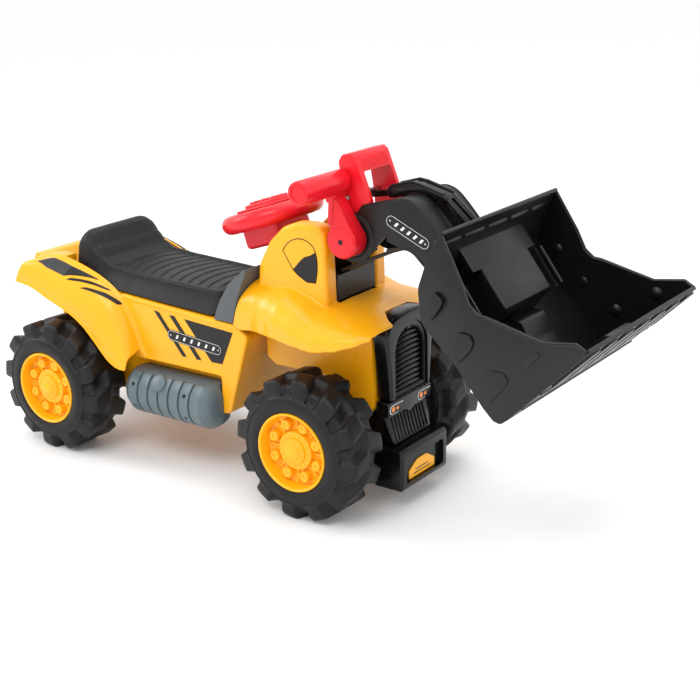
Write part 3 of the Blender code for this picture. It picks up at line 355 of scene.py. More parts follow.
def lathe(profile, centre, axis, steps=64, name="lathe"):
    """Turn a (radius, height) profile about an axis; an end at radius 0 is a point, and a
    profile with no such end is closed into a ring."""
    turn = Vector(axis).to_track_quat('Z', 'Y').to_matrix().to_4x4()
    place = Matrix.Translation(centre) @ turn
    bm = bmesh.new()
    rings = []
    for r, h in profile:
        if r < 1e-7:
            rings.append([bm.verts.new(place @ Vector((0, 0, h)))])
            continue
        rings.append([bm.verts.new(place @ Vector((r * math.cos(2 * math.pi * k / steps),
                                                   r * math.sin(2 * math.pi * k / steps), h)))
                      for k in range(steps)])
    pairs = list(zip(rings, rings[1:]))
    if len(rings[0]) > 1 and len(rings[-1]) > 1:
        pairs.append((rings[-1], rings[0]))
    for one, two in pairs:
        for k in range(steps):
            j = (k + 1) % steps
            if len(one) == 1 and len(two) > 1:
                bm.faces.new((one[0], two[j], two[k]))
            elif len(two) == 1 and len(one) > 1:
                bm.faces.new((one[k], one[j], two[0]))
            elif len(one) > 1:
                bm.faces.new((one[k], one[j], two[j], two[k]))
    bmesh.ops.recalc_face_normals(bm, faces=bm.faces)
    return made_from(bm, name)


def rod(start, end, radius, steps=32, edge=0.0012, name="rod"):
    """A round bar with softened ends."""
    start, end = Vector(start), Vector(end)
    length = (end - start).length
    edge = min(edge, radius * 0.6, length * 0.4)
    profile = [(0, 0), (radius - edge, 0), (radius - edge * 0.3, edge * 0.3), (radius, edge),
               (radius, length - edge), (radius - edge * 0.3, length - edge * 0.3), (radius - edge, length),
               (0, length)]
    return lathe(profile, start, end - start, steps, name)


def leaned(obj, place, angle):
    """Move a shape, made about the origin, and lean it about the axis across the digger."""
    obj.data.transform(Matrix.Translation(place) @ Matrix.Rotation(angle, 4, 'Y'))
    return obj


def pin(place, reach, radius):
    """A bar across the digger through a point in (x, z)."""
    return rod((place[0], -reach, place[1]), (place[0], reach, place[1]), radius)


def moulded(obj, voxel, passes, keep):
    """Remesh a joined shape and relax it, for the soft edges of a blow moulding."""
    mod(obj, 'REMESH', mode='VOXEL', voxel_size=voxel, adaptivity=0.0)
    baked(obj)
    mod(obj, 'SMOOTH', factor=0.5, iterations=passes)
    mod(obj, 'DECIMATE', decimate_type='COLLAPSE', ratio=keep)
    return baked(obj)


def sides():
    return (("right", -1), ("left", 1))


def across(side, near, far):
    return (side * near, side * far) if side > 0 else (side * far, side * near)


# ---- camera, light and floor ------------------------------------------------------------
CAMERA_LENS, CAMERA_SENSOR = 70.4, 36.0
CAMERA_PLACE = (1.29462, -1.24788, 0.68447)
CAMERA_AZIMUTH = math.radians(36.09)
CAMERA_ELEVATION = math.radians(18.59)
CAMERA_ROLL = math.radians(-1.43)


def camera():
    a, e = CAMERA_AZIMUTH, CAMERA_ELEVATION
    back = Vector((math.sin(a) * math.cos(e), -math.cos(a) * math.cos(e), math.sin(e)))
    right = Vector((math.cos(a), math.sin(a), 0))
    up = back.cross(right)
    c, s = math.cos(CAMERA_ROLL), math.sin(CAMERA_ROLL)
    right, up = c * right + s * up, c * up - s * right
    data = bpy.data.cameras.new("camera")
    data.lens, data.sensor_width = CAMERA_LENS, CAMERA_SENSOR
    obj = bpy.data.objects.new("camera", data)
    bpy.context.scene.collection.objects.link(obj)
    turn = Matrix((right, up, back)).transposed().to_4x4()
    obj.matrix_world = Matrix.Translation(Vector(CAMERA_PLACE) + Vector((REAR_X, 0, 0))) @ turn
    bpy.context.scene.camera = obj


def area_light(name, place, target, size, power):
    data = bpy.data.lights.new(name, 'AREA')
    data.shape = 'RECTANGLE'
    data.size, data.size_y = size
    data.energy = power
    obj = bpy.data.objects.new(name, data)
    bpy.context.scene.collection.objects.link(obj)
    obj.location = place
    obj.rotation_euler = (Vector(place) - Vector(target)).to_track_quat('Z', 'Y').to_euler()


def studio():
    world = bpy.data.worlds.new("studio")
    bpy.context.scene.world = world
    world.use_nodes = True
    backdrop = world.node_tree.nodes["Background"]
    sockets(backdrop, ("Color", (1.0, 1.0, 1.0, 1.0)), ("Strength", 1.04))
    area_light("key_light", (0.3, -1.6, 2.1), (0.0, 0.0, 0.1), (1.5, 1.0), 20.0)
    area_light("side_light", (-1.9, -0.7, 1.3), (0.0, 0.0, 0.15), (1.0, 1.0), 12.0)
    area_light("top_light", (0.1, 0.5, 2.3), (0.0, 0.0, 0.0), (2.2, 1.4), 14.0)
    area_light("front_light", (2.0, 0.2, 1.2), (0.2, 0.0, 0.2), (0.8, 1.2), 9.0)
    bpy.context.scene.view_settings.view_transform = 'Standard'
    bm = bmesh.new()
    bmesh.ops.create_grid(bm, x_segments=1, y_segments=1, size=14.0)
    floor = made_from(bm, "floor")
    paint = plastic("floor_white", (0.94, 0.94, 0.94), 0.6, 0.02, 30.0, 0.01)
    floor.data.materials.append(paint)


# ---- wheels -----------------------------------------------------------------------------
LUGS = 12


def lug_mask(turn, h, half):
    """1 on a tread lug, 0 in the scallop between two lugs, at one place on the tyre."""
    pitch = 2 * math.pi / LUGS
    phase = turn + (pitch / 2 if h < 0 else 0.0) + 0.16 * abs(h) / half
    local = abs((phase / pitch) % 1.0 - 0.5) * 2.0
    return ease((local - 0.3) / 0.26)


def tyre(name, centre, side):
    """The tyre: staggered lugs, a thin ridge round the middle and a flat sidewall."""
    w = TYRE_HALF
    half = [(0.047, w - 0.0012, 0.0), (0.0484, w, 0.0), (0.0612, w, 0.0), (0.0622, w - 0.0009, 0.0),
            (0.0634, w - 0.0009, 0.0), (0.0646, w - 0.0003, 0.0), (0.067, w - 0.0022, 0.1),
            (0.0695, w - 0.0032, 0.55), (0.0735, w - 0.004, 0.85), (0.0785, w - 0.005, 1.0),
            (0.0825, w - 0.0062, 1.0), (0.0845, w - 0.008, 1.0), (TYRE_R, w - 0.0105, 1.0),
            (TYRE_R, 0.017, 1.0), (TYRE_R, 0.011, 0.95), (TYRE_R, 0.0065, 0.8), (TYRE_R, 0.0036, 0.55),
            (TYRE_R, 0.0022, 0.25), (TYRE_R - 0.0006, 0.0012, 0.05)]
    profile = half + [(TYRE_R - 0.0006, 0.0, 0.0)] + [(r, -h, m) for r, h, m in reversed(half)]
    steps = LUGS * 18
    rows = []
    for k in range(steps):
        turn = 2 * math.pi * k / steps
        row = []
        for r, h, m in profile:
            gap = m * (1.0 - lug_mask(turn, h, w))
            radius = r - 0.0088 * gap
            depth = h - math.copysign(0.0034 * gap, h) if abs(h) > 0.02 else h
            row.append((centre[0] + radius * math.cos(turn), centre[1] + side * depth,
                        centre[2] + radius * math.sin(turn)))
        rows.append(row)
    return skin(rows, name, loop=True)


def hub(name, centre, side):
    """The dished yellow wheel: rim lip, flange, eight bosses and ribs, and a ring of rivets."""
    w = TYRE_HALF
    axis = (0, side, 0)
    face = [(0.0056, 0.024), (0.0056, 0.03), (0.014, 0.03), (0.015, 0.0292), (0.0158, 0.0268),
            (0.0215, 0.0266), (0.0226, 0.0258), (0.0232, 0.0212), (0.0245, 0.0196), (0.0392, 0.0196),
            (0.0412, 0.0206), (0.0428, 0.03), (0.0436, w - 0.0004), (0.0446, w + 0.0006),
            (0.0464, w + 0.0006), (0.0469, w - 0.001), (0.0469, -w + 0.001), (0.0462, -w), (0.044, -w),
            (0.0436, -w + 0.001), (0.0428, 0.016), (0.012, 0.016), (0.0115, -w + 0.001), (0.0105, -w),
            (0.0062, -w), (0.0056, -w + 0.001)]
    parts = [lathe(face, centre, axis, 72)]
    middle = Vector(centre)
    for k in range(8):
        a = 2 * math.pi * (k + 0.5) / 8
        spot = middle + Vector((0.0318 * math.cos(a), 0, 0.0318 * math.sin(a)))
        boss = [(0, 0.0266), (0.0017, 0.0264), (0.0026, 0.0276), (0.0052, 0.0278), (0.0061, 0.0268),
                (0.0066, 0.019), (0, 0.019)]
        parts.append(lathe(boss, spot, axis, 24))
        rib = box((0.024, 0.0418), both(0.0016), both(0.0014), 0.0006, 2)
        parts.append(leaned(rib, middle + Vector((0, side * 0.02, 0)), -2 * math.pi * k / 8))
    for k in range(16):
        a = 2 * math.pi * k / 16
        spot = middle + Vector((0.0187 * math.cos(a), side * 0.0268, 0.0187 * math.sin(a)))
        parts.append(lathe([(0, 0.0008), (0.001, 0.0006), (0.0013, -0.0004), (0, -0.0004)], spot, axis, 10))
    return merged(name, *parts)


def hub_cap(name, centre, side):
    dome = [(0, 0.0348), (0.004, 0.0346), (0.0075, 0.0336), (0.0092, 0.0322), (0.0096, 0.0312),
            (0.0118, 0.031), (0.0124, 0.0302), (0.0124, 0.03), (0, 0.03)]
    return lathe(dome, centre, (0, side, 0), 48, name)


def wheels():
    for label, side in sides():
        for end, x in (("rear", 0.0), ("front", WHEELBASE)):
            body = "wheel_%s_%s" % (end, label)
            centre = (x, side * WHEEL_Y, AXLE_Z)
            tag = "%s_%s" % (end, label)
            put(tyre("tread_" + tag, centre, side), body, "black_tyre", TYRE, "tyre_" + tag, angle=50)
            put(hub("rim_" + tag, centre, side), body, "yellow_wheel", HUB_YELLOW, "hub_" + tag)
            put(hub_cap("dome_" + tag, centre, side), body, "yellow_wheel", HUB_YELLOW,
                "wheel_cap_" + tag)


# ---- rear body --------------------------------------------------------------------------
HULL_Y = 0.06
RIM_Y = 0.0802
SEAT_WELL_Y = 0.0762
FENDER_Y = 0.112
PANEL_FOOT_Z = 0.131
SEAT_HINGE = joint_station("seat_open")
FENDER_RIM = [(-0.06, 0.24), (-0.04, 0.244), (-0.02, 0.2465), (0.006, 0.242), (0.029, 0.236),
              (0.052, 0.228), (0.072, 0.218), (0.0865, 0.207), (0.0957, 0.195), (0.1046, 0.18),
              (0.1118, 0.165), (0.12, 0.142)]
FENDER_EDGE = [(-0.0737, 0.2105), (-0.056, 0.2085), (-0.04, 0.2055), (-0.0162, 0.196), (0.0065, 0.188),
               (0.025, 0.181), (0.0446, 0.17), (0.0606, 0.156), (0.0764, 0.14), (0.0895, 0.128),
               (0.103, 0.122), (0.117, 0.1215)]
FENDER_SPANS = len(FENDER_RIM) - 1


def deck(x):
    return 0.215 - 0.06 * x


def fender_point(s, turn, side, sink=0.0):
    """A point on a mudguard: s along it, turn in degrees from its rim out to its edge."""
    rim, edge = on_line(FENDER_RIM, s), on_line(FENDER_EDGE, s)
    ahead = (on_line(FENDER_RIM, min(s + 0.05, FENDER_SPANS)) - on_line(FENDER_RIM, max(s - 0.05, 0)))
    ahead.normalize()
    down = Vector((ahead.y, -ahead.x))
    a = math.radians(turn)
    square = max(0.0, 1 - s / 2.2) ** 1.5
    y = RIM_Y - 0.002 + (FENDER_Y - RIM_Y) * math.sin(a) ** (0.9 - 0.35 * square)
    fall = (1 - math.cos(a)) ** (1 + 1.6 * square)
    spot = (rim + down * 0.0024).lerp(edge, fall * 0.94) + down * (sink * math.cos(a))
    return Vector((spot.x, side * (y - sink * math.sin(a)), spot.y))


def fender(side):
    """A rear mudguard: bowed crown from the seat rim out to a rolled lip."""
    rows = []
    for i in range(57):
        s = FENDER_SPANS * i / 56
        row = [fender_point(s, 11.25 * k, side) for k in range(9)]
        edge = on_line(FENDER_EDGE, s)
        row.append(Vector((edge.x, side * FENDER_Y, edge.y)))
        row.append(Vector((edge.x, side * (FENDER_Y - 0.0032), edge.y)))
        row += [fender_point(s, 11.25 * k, side, 0.0032) for k in range(8, -1, -1)]
        rows.append(row)
    return skin(rows, "fender")


def rear_body():
    """The blow-moulded tub: seat deck, side panels, mudguards, leg and storage box."""
    panel = fillet([(0.087, deck(0.087)), (0.08, 0.2), (0.08, 0.175), (0.11, PANEL_FOOT_Z),
                    (0.248, PANEL_FOOT_Z), (0.244, 0.08), (0.26, 0.083), (0.2925, 0.186), (0.272, 0.199),
                    (0.24, deck(0.24))], [0, 0, 0, 0.004, 0.01, 0.004, 0.01, 0.008, 0.006, 0], 6)
    shapes = [rounded(prism(panel, -PANEL_Y, PANEL_Y), 0.0028, 3)]
    shapes.append(box((0.105, 0.25), (-PANEL_Y - 0.0014, PANEL_Y + 0.0014), (0.1298, 0.1338), 0.0012, 2))
    brow = box(both(0.085), (-PANEL_Y - 0.0014, PANEL_Y + 0.0014), both(0.002), 0.0012, 2)
    shapes.append(leaned(brow, (0.185, 0, deck(0.185) - 0.003), math.atan(0.06)))
    hull = [(-0.045, 0.228), (0.015, 0.218), (0.08, 0.214), (0.084, 0.198), (0.25, 0.193), (0.256, 0.082),
            (0.235, 0.072), (-0.02, 0.072), (-0.045, 0.1)]
    shapes.append(rounded(prism(hull, -HULL_Y, HULL_Y), 0.004, 3))
    rim = smooth_line(FENDER_RIM, 40)
    flank = ([(-0.056, 0.218)] + rim + [(0.124, 0.134), (0.105, 0.134), (0.085, 0.166),
             (0.01, 0.176), (-0.045, 0.18)])
    tail = fillet([(-0.067, 0.235), (-0.064, 0.244), (-0.048, 0.244), (-0.038, 0.2345), (-0.03, 0.219),
                   (-0.059, 0.2105), (-0.0738, 0.2105)], [0.006, 0.005, 0.005, 0.004, 0, 0, 0.003])
    shapes.append(prism(tail, -PANEL_Y - 0.001, PANEL_Y + 0.001))
    for _, side in sides():
        shapes.append(rounded(prism(flank, *across(side, HULL_Y - 0.002, RIM_Y)), 0.0016, 3))
        shapes.append(fender(side))
        shapes.append(box(around(SEAT_HINGE[0], 0.0045), across(side, 0.0505, 0.056),
                          (0.1985, SEAT_HINGE[1] + 0.004)))
    body = moulded(merged("body_moulding", *shapes), 0.0014, 4, 0.45)
    cut(body,
        box((0.03, 0.21), both(0.05), (0.102, 0.26)),
        box((-0.04, 0.253), (-HULL_Y + WALL, HULL_Y - WALL), (0.05, 0.099)),
        box((-0.039, 0.026), both(0.0562), (0.095, 0.1995)),
        box((0.214, 0.2475), both(0.0566), (0.094, 0.196)),
        prism([(-0.01, 0.26), (-0.0085, 0.2025), (0.019, 0.2025), (0.021, deck(0.021)),
               (0.086, deck(0.086)), (0.086, 0.3)], -SEAT_WELL_Y, SEAT_WELL_Y),
        prism([(0.249, 0.06), (0.2565, 0.06), (0.257, 0.083), (0.2882, 0.1835), (0.27, 0.1945),
               (0.252, 0.193)], -PANEL_Y + WALL, PANEL_Y - WALL),
        pin((0, AXLE_Z), 0.1, 0.0092))
    for _, side in sides():
        cut(body,
            box((0.118, 0.244), across(side, HULL_Y + WALL, PANEL_Y - 0.0034), (0.05, 0.195)),
            box((0.0, 0.085), across(side, HULL_Y + 0.0025, PANEL_Y - 0.0038), (0.1, 0.199)),
            rod((SEAT_HINGE[0], side * 0.045, SEAT_HINGE[1]), (SEAT_HINGE[0], side * 0.058, SEAT_HINGE[1]),
                0.0025))
    put(body, "chassis", "yellow_body", YELLOW, "rear_body", angle=60)


# ---- stickers ---------------------------------------------------------------------------
def sticker(outline, y, name="sticker"):
    """A thin flat label on a side of the digger."""
    side = math.copysign(1, y)
    return prism(outline, *sorted((y, y + side * 0.0003)), name=name)


def capsule(one, two, radius, steps=14):
    """A stadium outline round two centres."""
    one, two = Vector(one), Vector(two)
    lean = math.degrees(math.atan2(two.y - one.y, two.x - one.x))
    return (arc(one, radius, lean + 90, lean + 270, steps) + arc(two, radius, lean - 90, lean + 90, steps))


def raised_line(outer, inner, y, thick):
    """A thin line that stands up between two outlines on a side of the digger."""
    side = math.copysign(1, y)
    rows = [[(x, y + side * h, z) for x, z in line]
            for line, h in ((outer, 0.0), (outer, thick), (inner, thick), (inner, 0.0))]
    return skin(rows + rows[:1], caps=False)


def nameplate(one, two, radius, y, bars):
    """A blank plate: dark field, thin light outline, two rivets and a row of slanted bars."""
    side = math.copysign(1, y)
    dark = [sticker(capsule(one, two, radius), y)]
    light = [raised_line(capsule(one, two, radius * 0.88), capsule(one, two, radius * 0.82), y, 0.0005)]
    one, two = Vector(one), Vector(two)
    along = (two - one).normalized()
    up = Vector((-along.y, along.x))
    for spot in (one - along * radius * 0.25, two + along * radius * 0.25):
        light.append(rod((spot.x, y, spot.y), (spot.x, y + side * 0.0008, spot.y), radius * 0.13, 12))
    for k in range(bars):
        start = one.lerp(two, (k + 0.62) / (bars + 0.24)) - up * radius * 0.36 - along * radius * 0.1
        wide, high, slant = along * radius * 0.42, up * radius * 0.72, along * radius * 0.28
        corners = [start, start + wide, start + wide + high + slant, start + high + slant]
        light.append(sticker([tuple(p) for p in corners], y + side * 0.0002))
    return dark, light


def fender_sticker(corners, side, name):
    """A label that follows the mudguard; corners are (s, turn) pairs of two long sides."""
    rows = []
    lower, upper = corners
    for i in range(25):
        t = i / 24
        rows.append([on_strip(lower, t).lerp(on_strip(upper, t), k / 10) for k in range(11)])
    sheet = [[fender_point(p.x, p.y, side, -0.00045) for p in row] for row in rows]
    under = [[fender_point(p.x, p.y, side, 0.0002) for p in row] for row in rows]
    return skin([one + two[::-1] for one, two in zip(sheet, under)], name)


def on_strip(points, t):
    """A point at share t of a polyline's spans."""
    s = t * (len(points) - 1)
    i = min(int(s), len(points) - 2)
    return Vector(points[i]).lerp(Vector(points[i + 1]), s - i)


FENDER_BANDS = (([(3.42, 13), (4.3, 10), (5.15, 6)], [(3.42, 40), (3.75, 33), (5.1, 8)]),
                ([(3.7, 45), (4.9, 29), (6.1, 12)], [(3.85, 38), (5.0, 21), (6.25, 6)]),
                ([(4.75, 45), (6.2, 29), (7.55, 14)], [(5.0, 38), (6.2, 20), (7.8, 1)]))
PANEL_LABELS = ([(0.1432, 0.1969), (0.1514, 0.1957), (0.1935, 0.1449), (0.1869, 0.1442)],
                [(0.1687, 0.1946), (0.177, 0.1946), (0.2176, 0.1449), (0.2103, 0.1443)],
                [(0.1932, 0.1934), (0.2701, 0.1884), (0.2511, 0.1459), (0.2342, 0.1454)])
EYE_BROW = [(0.3375, 0.2953), (0.3454, 0.305), (0.3578, 0.3111), (0.3699, 0.3113), (0.3805, 0.306),
            (0.385, 0.2985), (0.3872, 0.288), (0.3866, 0.2741), (0.384, 0.262)]
EYE_LID = [(0.3516, 0.2742), (0.3558, 0.2782), (0.3615, 0.2845), (0.369, 0.2908), (0.3763, 0.2934),
           (0.385, 0.2985)]
EYE_MIDDLE = Vector((0.366, 0.286))


def cheek_label(side):
    """A headlight outline with a dark pupil, on the cheek beside the boom."""
    y = side * (CHEEK_Y + 0.0002)
    foot = [(0.371, 0.2615), (0.3583, 0.2681), (0.3512, 0.2741), (0.3443, 0.2842)]
    eye = smooth_line(EYE_BROW, 40) + foot
    inner = [tuple(Vector(p) + (EYE_MIDDLE - Vector(p)).normalized() * 0.0009) for p in eye]
    pupil = foot[2:3] + smooth_line(EYE_LID, 20) + EYE_BROW[6:] + foot[:2]
    return [raised_line(eye, inner, y, 0.0003), sticker(pupil, y)]


def stickers():
    for label, side in sides():
        y = side * (PANEL_Y + 0.0002)
        dark = [sticker(shape, y) for shape in PANEL_LABELS]
        plate, light = nameplate((0.1712, 0.1691), (0.2442, 0.1628), 0.007, y + side * 0.0002, 6)
        dark += plate
        for corners in FENDER_BANDS:
            dark.append(fender_sticker(corners, side, "band"))
        put(merged("body_label_" + label, *dark), "chassis", "black_plastic", DECAL)
        put(fender_sticker(([(2.0, 12), (2.7, 12), (3.4, 13)], [(1.15, 36), (2.2, 42), (3.4, 41)]), side,
                           "crown_label_" + label), "chassis", "grey_trim", DECAL_GREY)
        put(merged("body_label_line_" + label, *light), "chassis", "black_plastic", DECAL_WHITE)
        put(merged("cheek_label_" + label, *cheek_label(side)), "chassis", "black_plastic", DECAL)


# ---- cowl and nose ----------------------------------------------------------------------
COWL_TOP = [(0.27, 0.258), (0.35, 0.256), (0.372, 0.248), (0.398, 0.237), (0.43, 0.233), (0.455, 0.229),
            (0.476, 0.223)]
COWL_EDGE = [(0.27, 0.193), (0.321, 0.1995), (0.35, 0.2005), (0.385, 0.198), (0.408, 0.196), (0.436, 0.201),
             (0.455, 0.207), (0.476, 0.215)]
COWL_HALF = [(0.27, 0.079), (0.3, 0.083), (0.325, 0.093), (0.35, 0.102), (0.38, 0.107), (0.41, 0.109),
             (0.44, 0.107), (0.46, 0.101), (0.476, 0.088)]
CHEEK = [(0.296, 0.24), (0.3, 0.2741), (0.3165, 0.3027), (0.3365, 0.3217), (0.3542, 0.3284),
         (0.3756, 0.3298), (0.39, 0.3285), (0.3965, 0.3188), (0.3985, 0.234)]
TRIM_REAR = [(0.242, 0.201), (0.246, 0.212), (0.2527, 0.2263), (0.2683, 0.2494), (0.2893, 0.267)]
TRIM_FRONT = [(0.2725, 0.2), (0.2809, 0.2306), (0.287, 0.245), (0.295, 0.262)]
LEAN = Vector((-math.sin(STEER_TILT), 0, math.cos(STEER_TILT)))
STEER_POINT = Vector((STEER[0], 0, STEER[1]))


def cowl_row(x, sink):
    """One bow of the cowl; sink moves it inwards for the underside."""
    top = value_at(COWL_TOP, x) - sink
    edge = value_at(COWL_EDGE, x)
    half = value_at(COWL_HALF, x) - sink
    row = []
    for step in range(-20, 21):
        a = math.radians(90 * step / 20)
        flat = math.copysign(abs(math.sin(a)) ** 0.8, a)
        drop = abs(math.cos(a)) ** 0.55 if abs(step) < 20 else 0.0
        row.append((x, half * flat, edge + (top - edge) * drop))
    return row


def front_cowl():
    """The bonnet with its mudguards, and the cheeks that rise beside the boom slot."""
    rows = []
    for i in range(45):
        x = 0.27 + (0.476 - 0.27) * i / 44
        rows.append(cowl_row(x, 0.0) + cowl_row(x, 0.0032)[::-1])
    shapes = [skin(rows)]
    for _, side in sides():
        cheek = prism(fillet(CHEEK, [0, 0.02, 0.02, 0.02, 0.02, 0.02, 0.012, 0.006, 0], 6),
                      *across(side, SLOT_Y - 0.001, CHEEK_Y))
        shapes.append(rounded(cheek, 0.0085, 5, 50))
    cowl = moulded(merged("bonnet_moulding", *shapes), 0.0013, 9, 0.45)
    trim_side = [(0.23, 0.17), (0.273, 0.17)] + TRIM_FRONT + [(0.298, 0.27), (0.298, 0.34), (0.23, 0.34)]
    cut(cowl, prism(trim_side, -0.12, 0.12),
        rod(STEER_POINT - LEAN * 0.14, STEER_POINT - LEAN * 0.03, 0.0205),
        box((0.328, 0.4005), both(SLOT_Y), (0.15, 0.4)),
        facing(shell_arch(0.0006, 0.1), 0.4515, 0.5),
        prism([(0.25, 0.15), (0.25, 0.199), (0.2735, 0.1996), (0.294, 0.1868), (0.29, 0.15)],
              -0.12, 0.12))
    put(cowl, "chassis", "yellow_body", YELLOW, "front_cowl", angle=60)


def saddle_trim():
    """The grey saddle between seat and bonnet, and the collar of the steering column."""
    front = [(x - 0.0015, z + 0.0006) for x, z in reversed(TRIM_FRONT)]
    outline = fillet(TRIM_REAR + [(0.2945, 0.27)] + front, [0, 0.01, 0.02, 0.03, 0.01, 0.003, 0.002,
                                                              0.01, 0.01, 0], 5)
    trim = rounded(prism(outline, -0.0785, 0.0785, "saddle_moulding"), 0.004, 4)
    foot = STEER_POINT - LEAN * 0.074
    collar = lathe([(0.0095, 0.0), (0.0195, 0.0), (0.0192, 0.012), (0.0165, 0.03), (0.015, 0.0355),
                    (0.0138, 0.0365), (0.0085, 0.0365), (0.0085, 0.0)], foot, LEAN, 48)
    union(trim, collar)
    cut(trim, rod(STEER_POINT - LEAN * 0.14, STEER_POINT - LEAN * 0.03, 0.008))
    put(trim, "chassis", "grey_trim", GREY, "saddle_trim", angle=40)


def facing(outline, x0, x1, name="facing"):
    """An outline in (y, z), given thickness along the digger from x0 to x1."""
    obj = prism(outline, -x1, -x0, name)
    obj.data.transform(Matrix.Rotation(math.pi / 2, 4, 'Z'))
    return obj


def arch(half, low, high):
    """A round-topped outline in (y, z) with straight sides."""
    return [(-half, low)] + arc((0.0, high - half), half, 180, 0, 28) + [(half, low)]


def shell_arch(grow, low):
    """The grille's outer outline in (y, z): leaning sides and round shoulders."""
    half = [(0.0415, low), (0.045, 0.176), (0.048, 0.198), (0.0478, 0.21), (0.044, 0.219), (0.035, 0.2255),
            (0.02, 0.229), (0.0, 0.2302)]
    half = [(y + (grow if y else 0.0), z + (grow if z > 0.2 else 0.0)) for y, z in half]
    right = half[:2] + smooth_line(half[2:], 24)
    return right + [(-y, z) for y, z in right[-2::-1]]


def grille():
    """The arched radiator: glossy frame, recessed field and slanted louvres."""
    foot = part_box("grille")[0].z
    frame_part = rounded(facing(shell_arch(0.0, foot), 0.451, 0.4725), 0.0045, 5, 50)
    cut(frame_part, facing(arch(0.0345, foot + 0.003, 0.2165), 0.47, 0.48))
    cut(frame_part, facing(arch(0.03, foot + 0.006, 0.2115), 0.464, 0.48))
    bead = facing(arch(0.03, foot + 0.006, 0.2115), 0.463, 0.469)
    cut(bead, facing(arch(0.0284, foot + 0.0076, 0.2099), 0.46, 0.472))
    slats = [bead]
    count = 12
    for k in range(count):
        z = foot + 0.01 + 0.0062 * k
        rise = max(0.0, z + 0.0035 - (0.2115 - 0.03))
        reach = math.sqrt(max(0.0, 0.0284 ** 2 - rise ** 2)) - 0.0012
        slat = box(both(0.0022), both(reach), both(0.0019), 0.0007, 2)
        slats.append(leaned(slat, (0.465, 0, z), math.radians(-24)))
    put(merged("radiator", frame_part, *slats), "chassis", "black_plastic", BLACK, "grille")


def teardrop(centre, grow):
    """A lamp outline in (y, z): round at one end and drawn to a point at the other."""
    y, z = centre
    return arc((y - 0.0075, z), 0.0046 + grow, 100, 285, 12) + [
        (y + 0.002, z - 0.004 - grow), (y + 0.01 + grow, z + 0.0012),
        (y + 0.0125 + grow * 1.5, z + 0.0046 + grow), (y + 0.002, z + 0.0048 + grow)]


def nose_lamps():
    strip = [(-0.0455, 0.11), (-0.0095, 0.1098), (-0.001, 0.1052), (0.001, 0.1052), (0.0095, 0.1098),
             (0.0455, 0.11), (0.0455, 0.1262), (0.044, 0.1276), (-0.044, 0.1276), (-0.0455, 0.1262)]
    bar = rounded(facing(strip, 0.46, 0.47), 0.001, 2)
    back = box((0.4525, 0.461), both(0.044), (0.1104, 0.1272), 0.001, 2)
    put(merged("lamp_bar", bar, back), "chassis", "black_plastic", BLACK, "lamp_strip")
    for label, _ in sides():
        spot = centre_of("lamp_" + label)
        place = (spot.y, 0.1178)
        rim = rounded(facing(teardrop(place, 0.001), 0.469, 0.4706), 0.0003, 2)
        field = rounded(facing(teardrop(place, 0.0002), 0.4692, 0.471), 0.0003, 2)
        glass = []
        for dy, r in ((-0.007, 0.0034), (0.0012, 0.0023)):
            glass.append(lathe([(0, 0.0012), (r * 0.6, 0.0009), (r, 0.0), (r, -0.0006), (0, -0.0006)],
                               (0.471, place[0] + dy, place[1] + 0.0006), (1, 0, 0), 24))
        rim.name = "lamp_rim_" + label
        field.name = "lamp_field_" + label
        put(rim, "chassis", "black_plastic", DECAL_WHITE)
        put(field, "chassis", "black_plastic", DECAL)
        put(merged("lamp_lens_" + label, *glass), "chassis", "amber", AMBER, "lamp_" + label)


def nose_guard():
    """The ribbed skid plate between the lamps and the bumper."""
    side = [(0.451, 0.1095), (0.464, 0.1095), (0.474, 0.0748), (0.425, 0.0748), (0.425, 0.0995),
            (0.44, 0.0995)]

    def width(x, z):
        return 0.0385 + 0.006 * min(1.0, max(0.0, (z - 0.0745) / 0.022))

    guard = rounded(prism(side, -1, 1, "skid_plate", width), 0.002, 3)
    ribs = []
    for k in range(11):
        y = -0.0325 + 0.0065 * k
        ribs.append(rod((0.4652, y, 0.106), (0.4732, y, 0.0785), 0.0013, 10))
    put(merged("skid_plate", guard, *ribs), "chassis", "black_plastic", BLACK, "front_skirt")


def bumper():
    """The square bumper: rounded front frame, recess, and a blank yellow number plate."""
    low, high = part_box("front_bumper")
    half, foot, top, front = high.y, low.z, high.z, high.x - REAR_X
    side = fillet([(0.43, top), (front - 0.0025, top), (front, top - 0.005), (front, foot + 0.004),
                   (front - 0.0025, foot), (0.452, foot), (0.43, 0.05)], 0.004)
    body = rounded(prism(side, -half, half, "bumper_body"), 0.0045, 4)
    field = fillet([(-half + 0.0085, foot + 0.0075), (half - 0.0085, foot + 0.0075),
                    (half - 0.0085, top - 0.0125), (-half + 0.0085, top - 0.0125)], 0.006)
    cut(body, facing(field, front - 0.006, front + 0.01),
        prism([(0.42, 0.06), (front - 0.0095, 0.06), (front - 0.0095, 0.03), (0.455, 0.03),
               (0.42, 0.033)], -half + 0.004, half - 0.004))
    screws = [rod((front - 0.0062, y, top - 0.0165), (front - 0.0045, y, top - 0.0165), 0.0022, 16)
              for y in (-half + 0.014, half - 0.014)]
    put(merged("bumper_box", body, *screws), "chassis", "black_plastic", BLACK, "front_bumper")
    plate = fillet([(-0.027, foot + 0.0085), (0.027, foot + 0.0085), (0.027, foot + 0.019),
                    (0.01, foot + 0.029), (-0.01, foot + 0.029), (-0.027, foot + 0.019)],
                   [0.001, 0.001, 0.002, 0.012, 0.012, 0.002], 6)
    put(facing(plate, front - 0.0062, front - 0.0048, "number_plate"), "chassis", "yellow_body", YELLOW)
    edge = [facing([(y0, z0), (y1, z0), (y1, z1), (y0, z1)], front - 0.005, front - 0.0045)
            for y0, y1, z0, z1 in ((-0.018, 0.018, foot + 0.0125, foot + 0.0137),
                                   (-0.013, 0.013, foot + 0.0165, foot + 0.0177))]
    put(merged("plate_lines", *edge), "chassis", "black_plastic", DECAL)


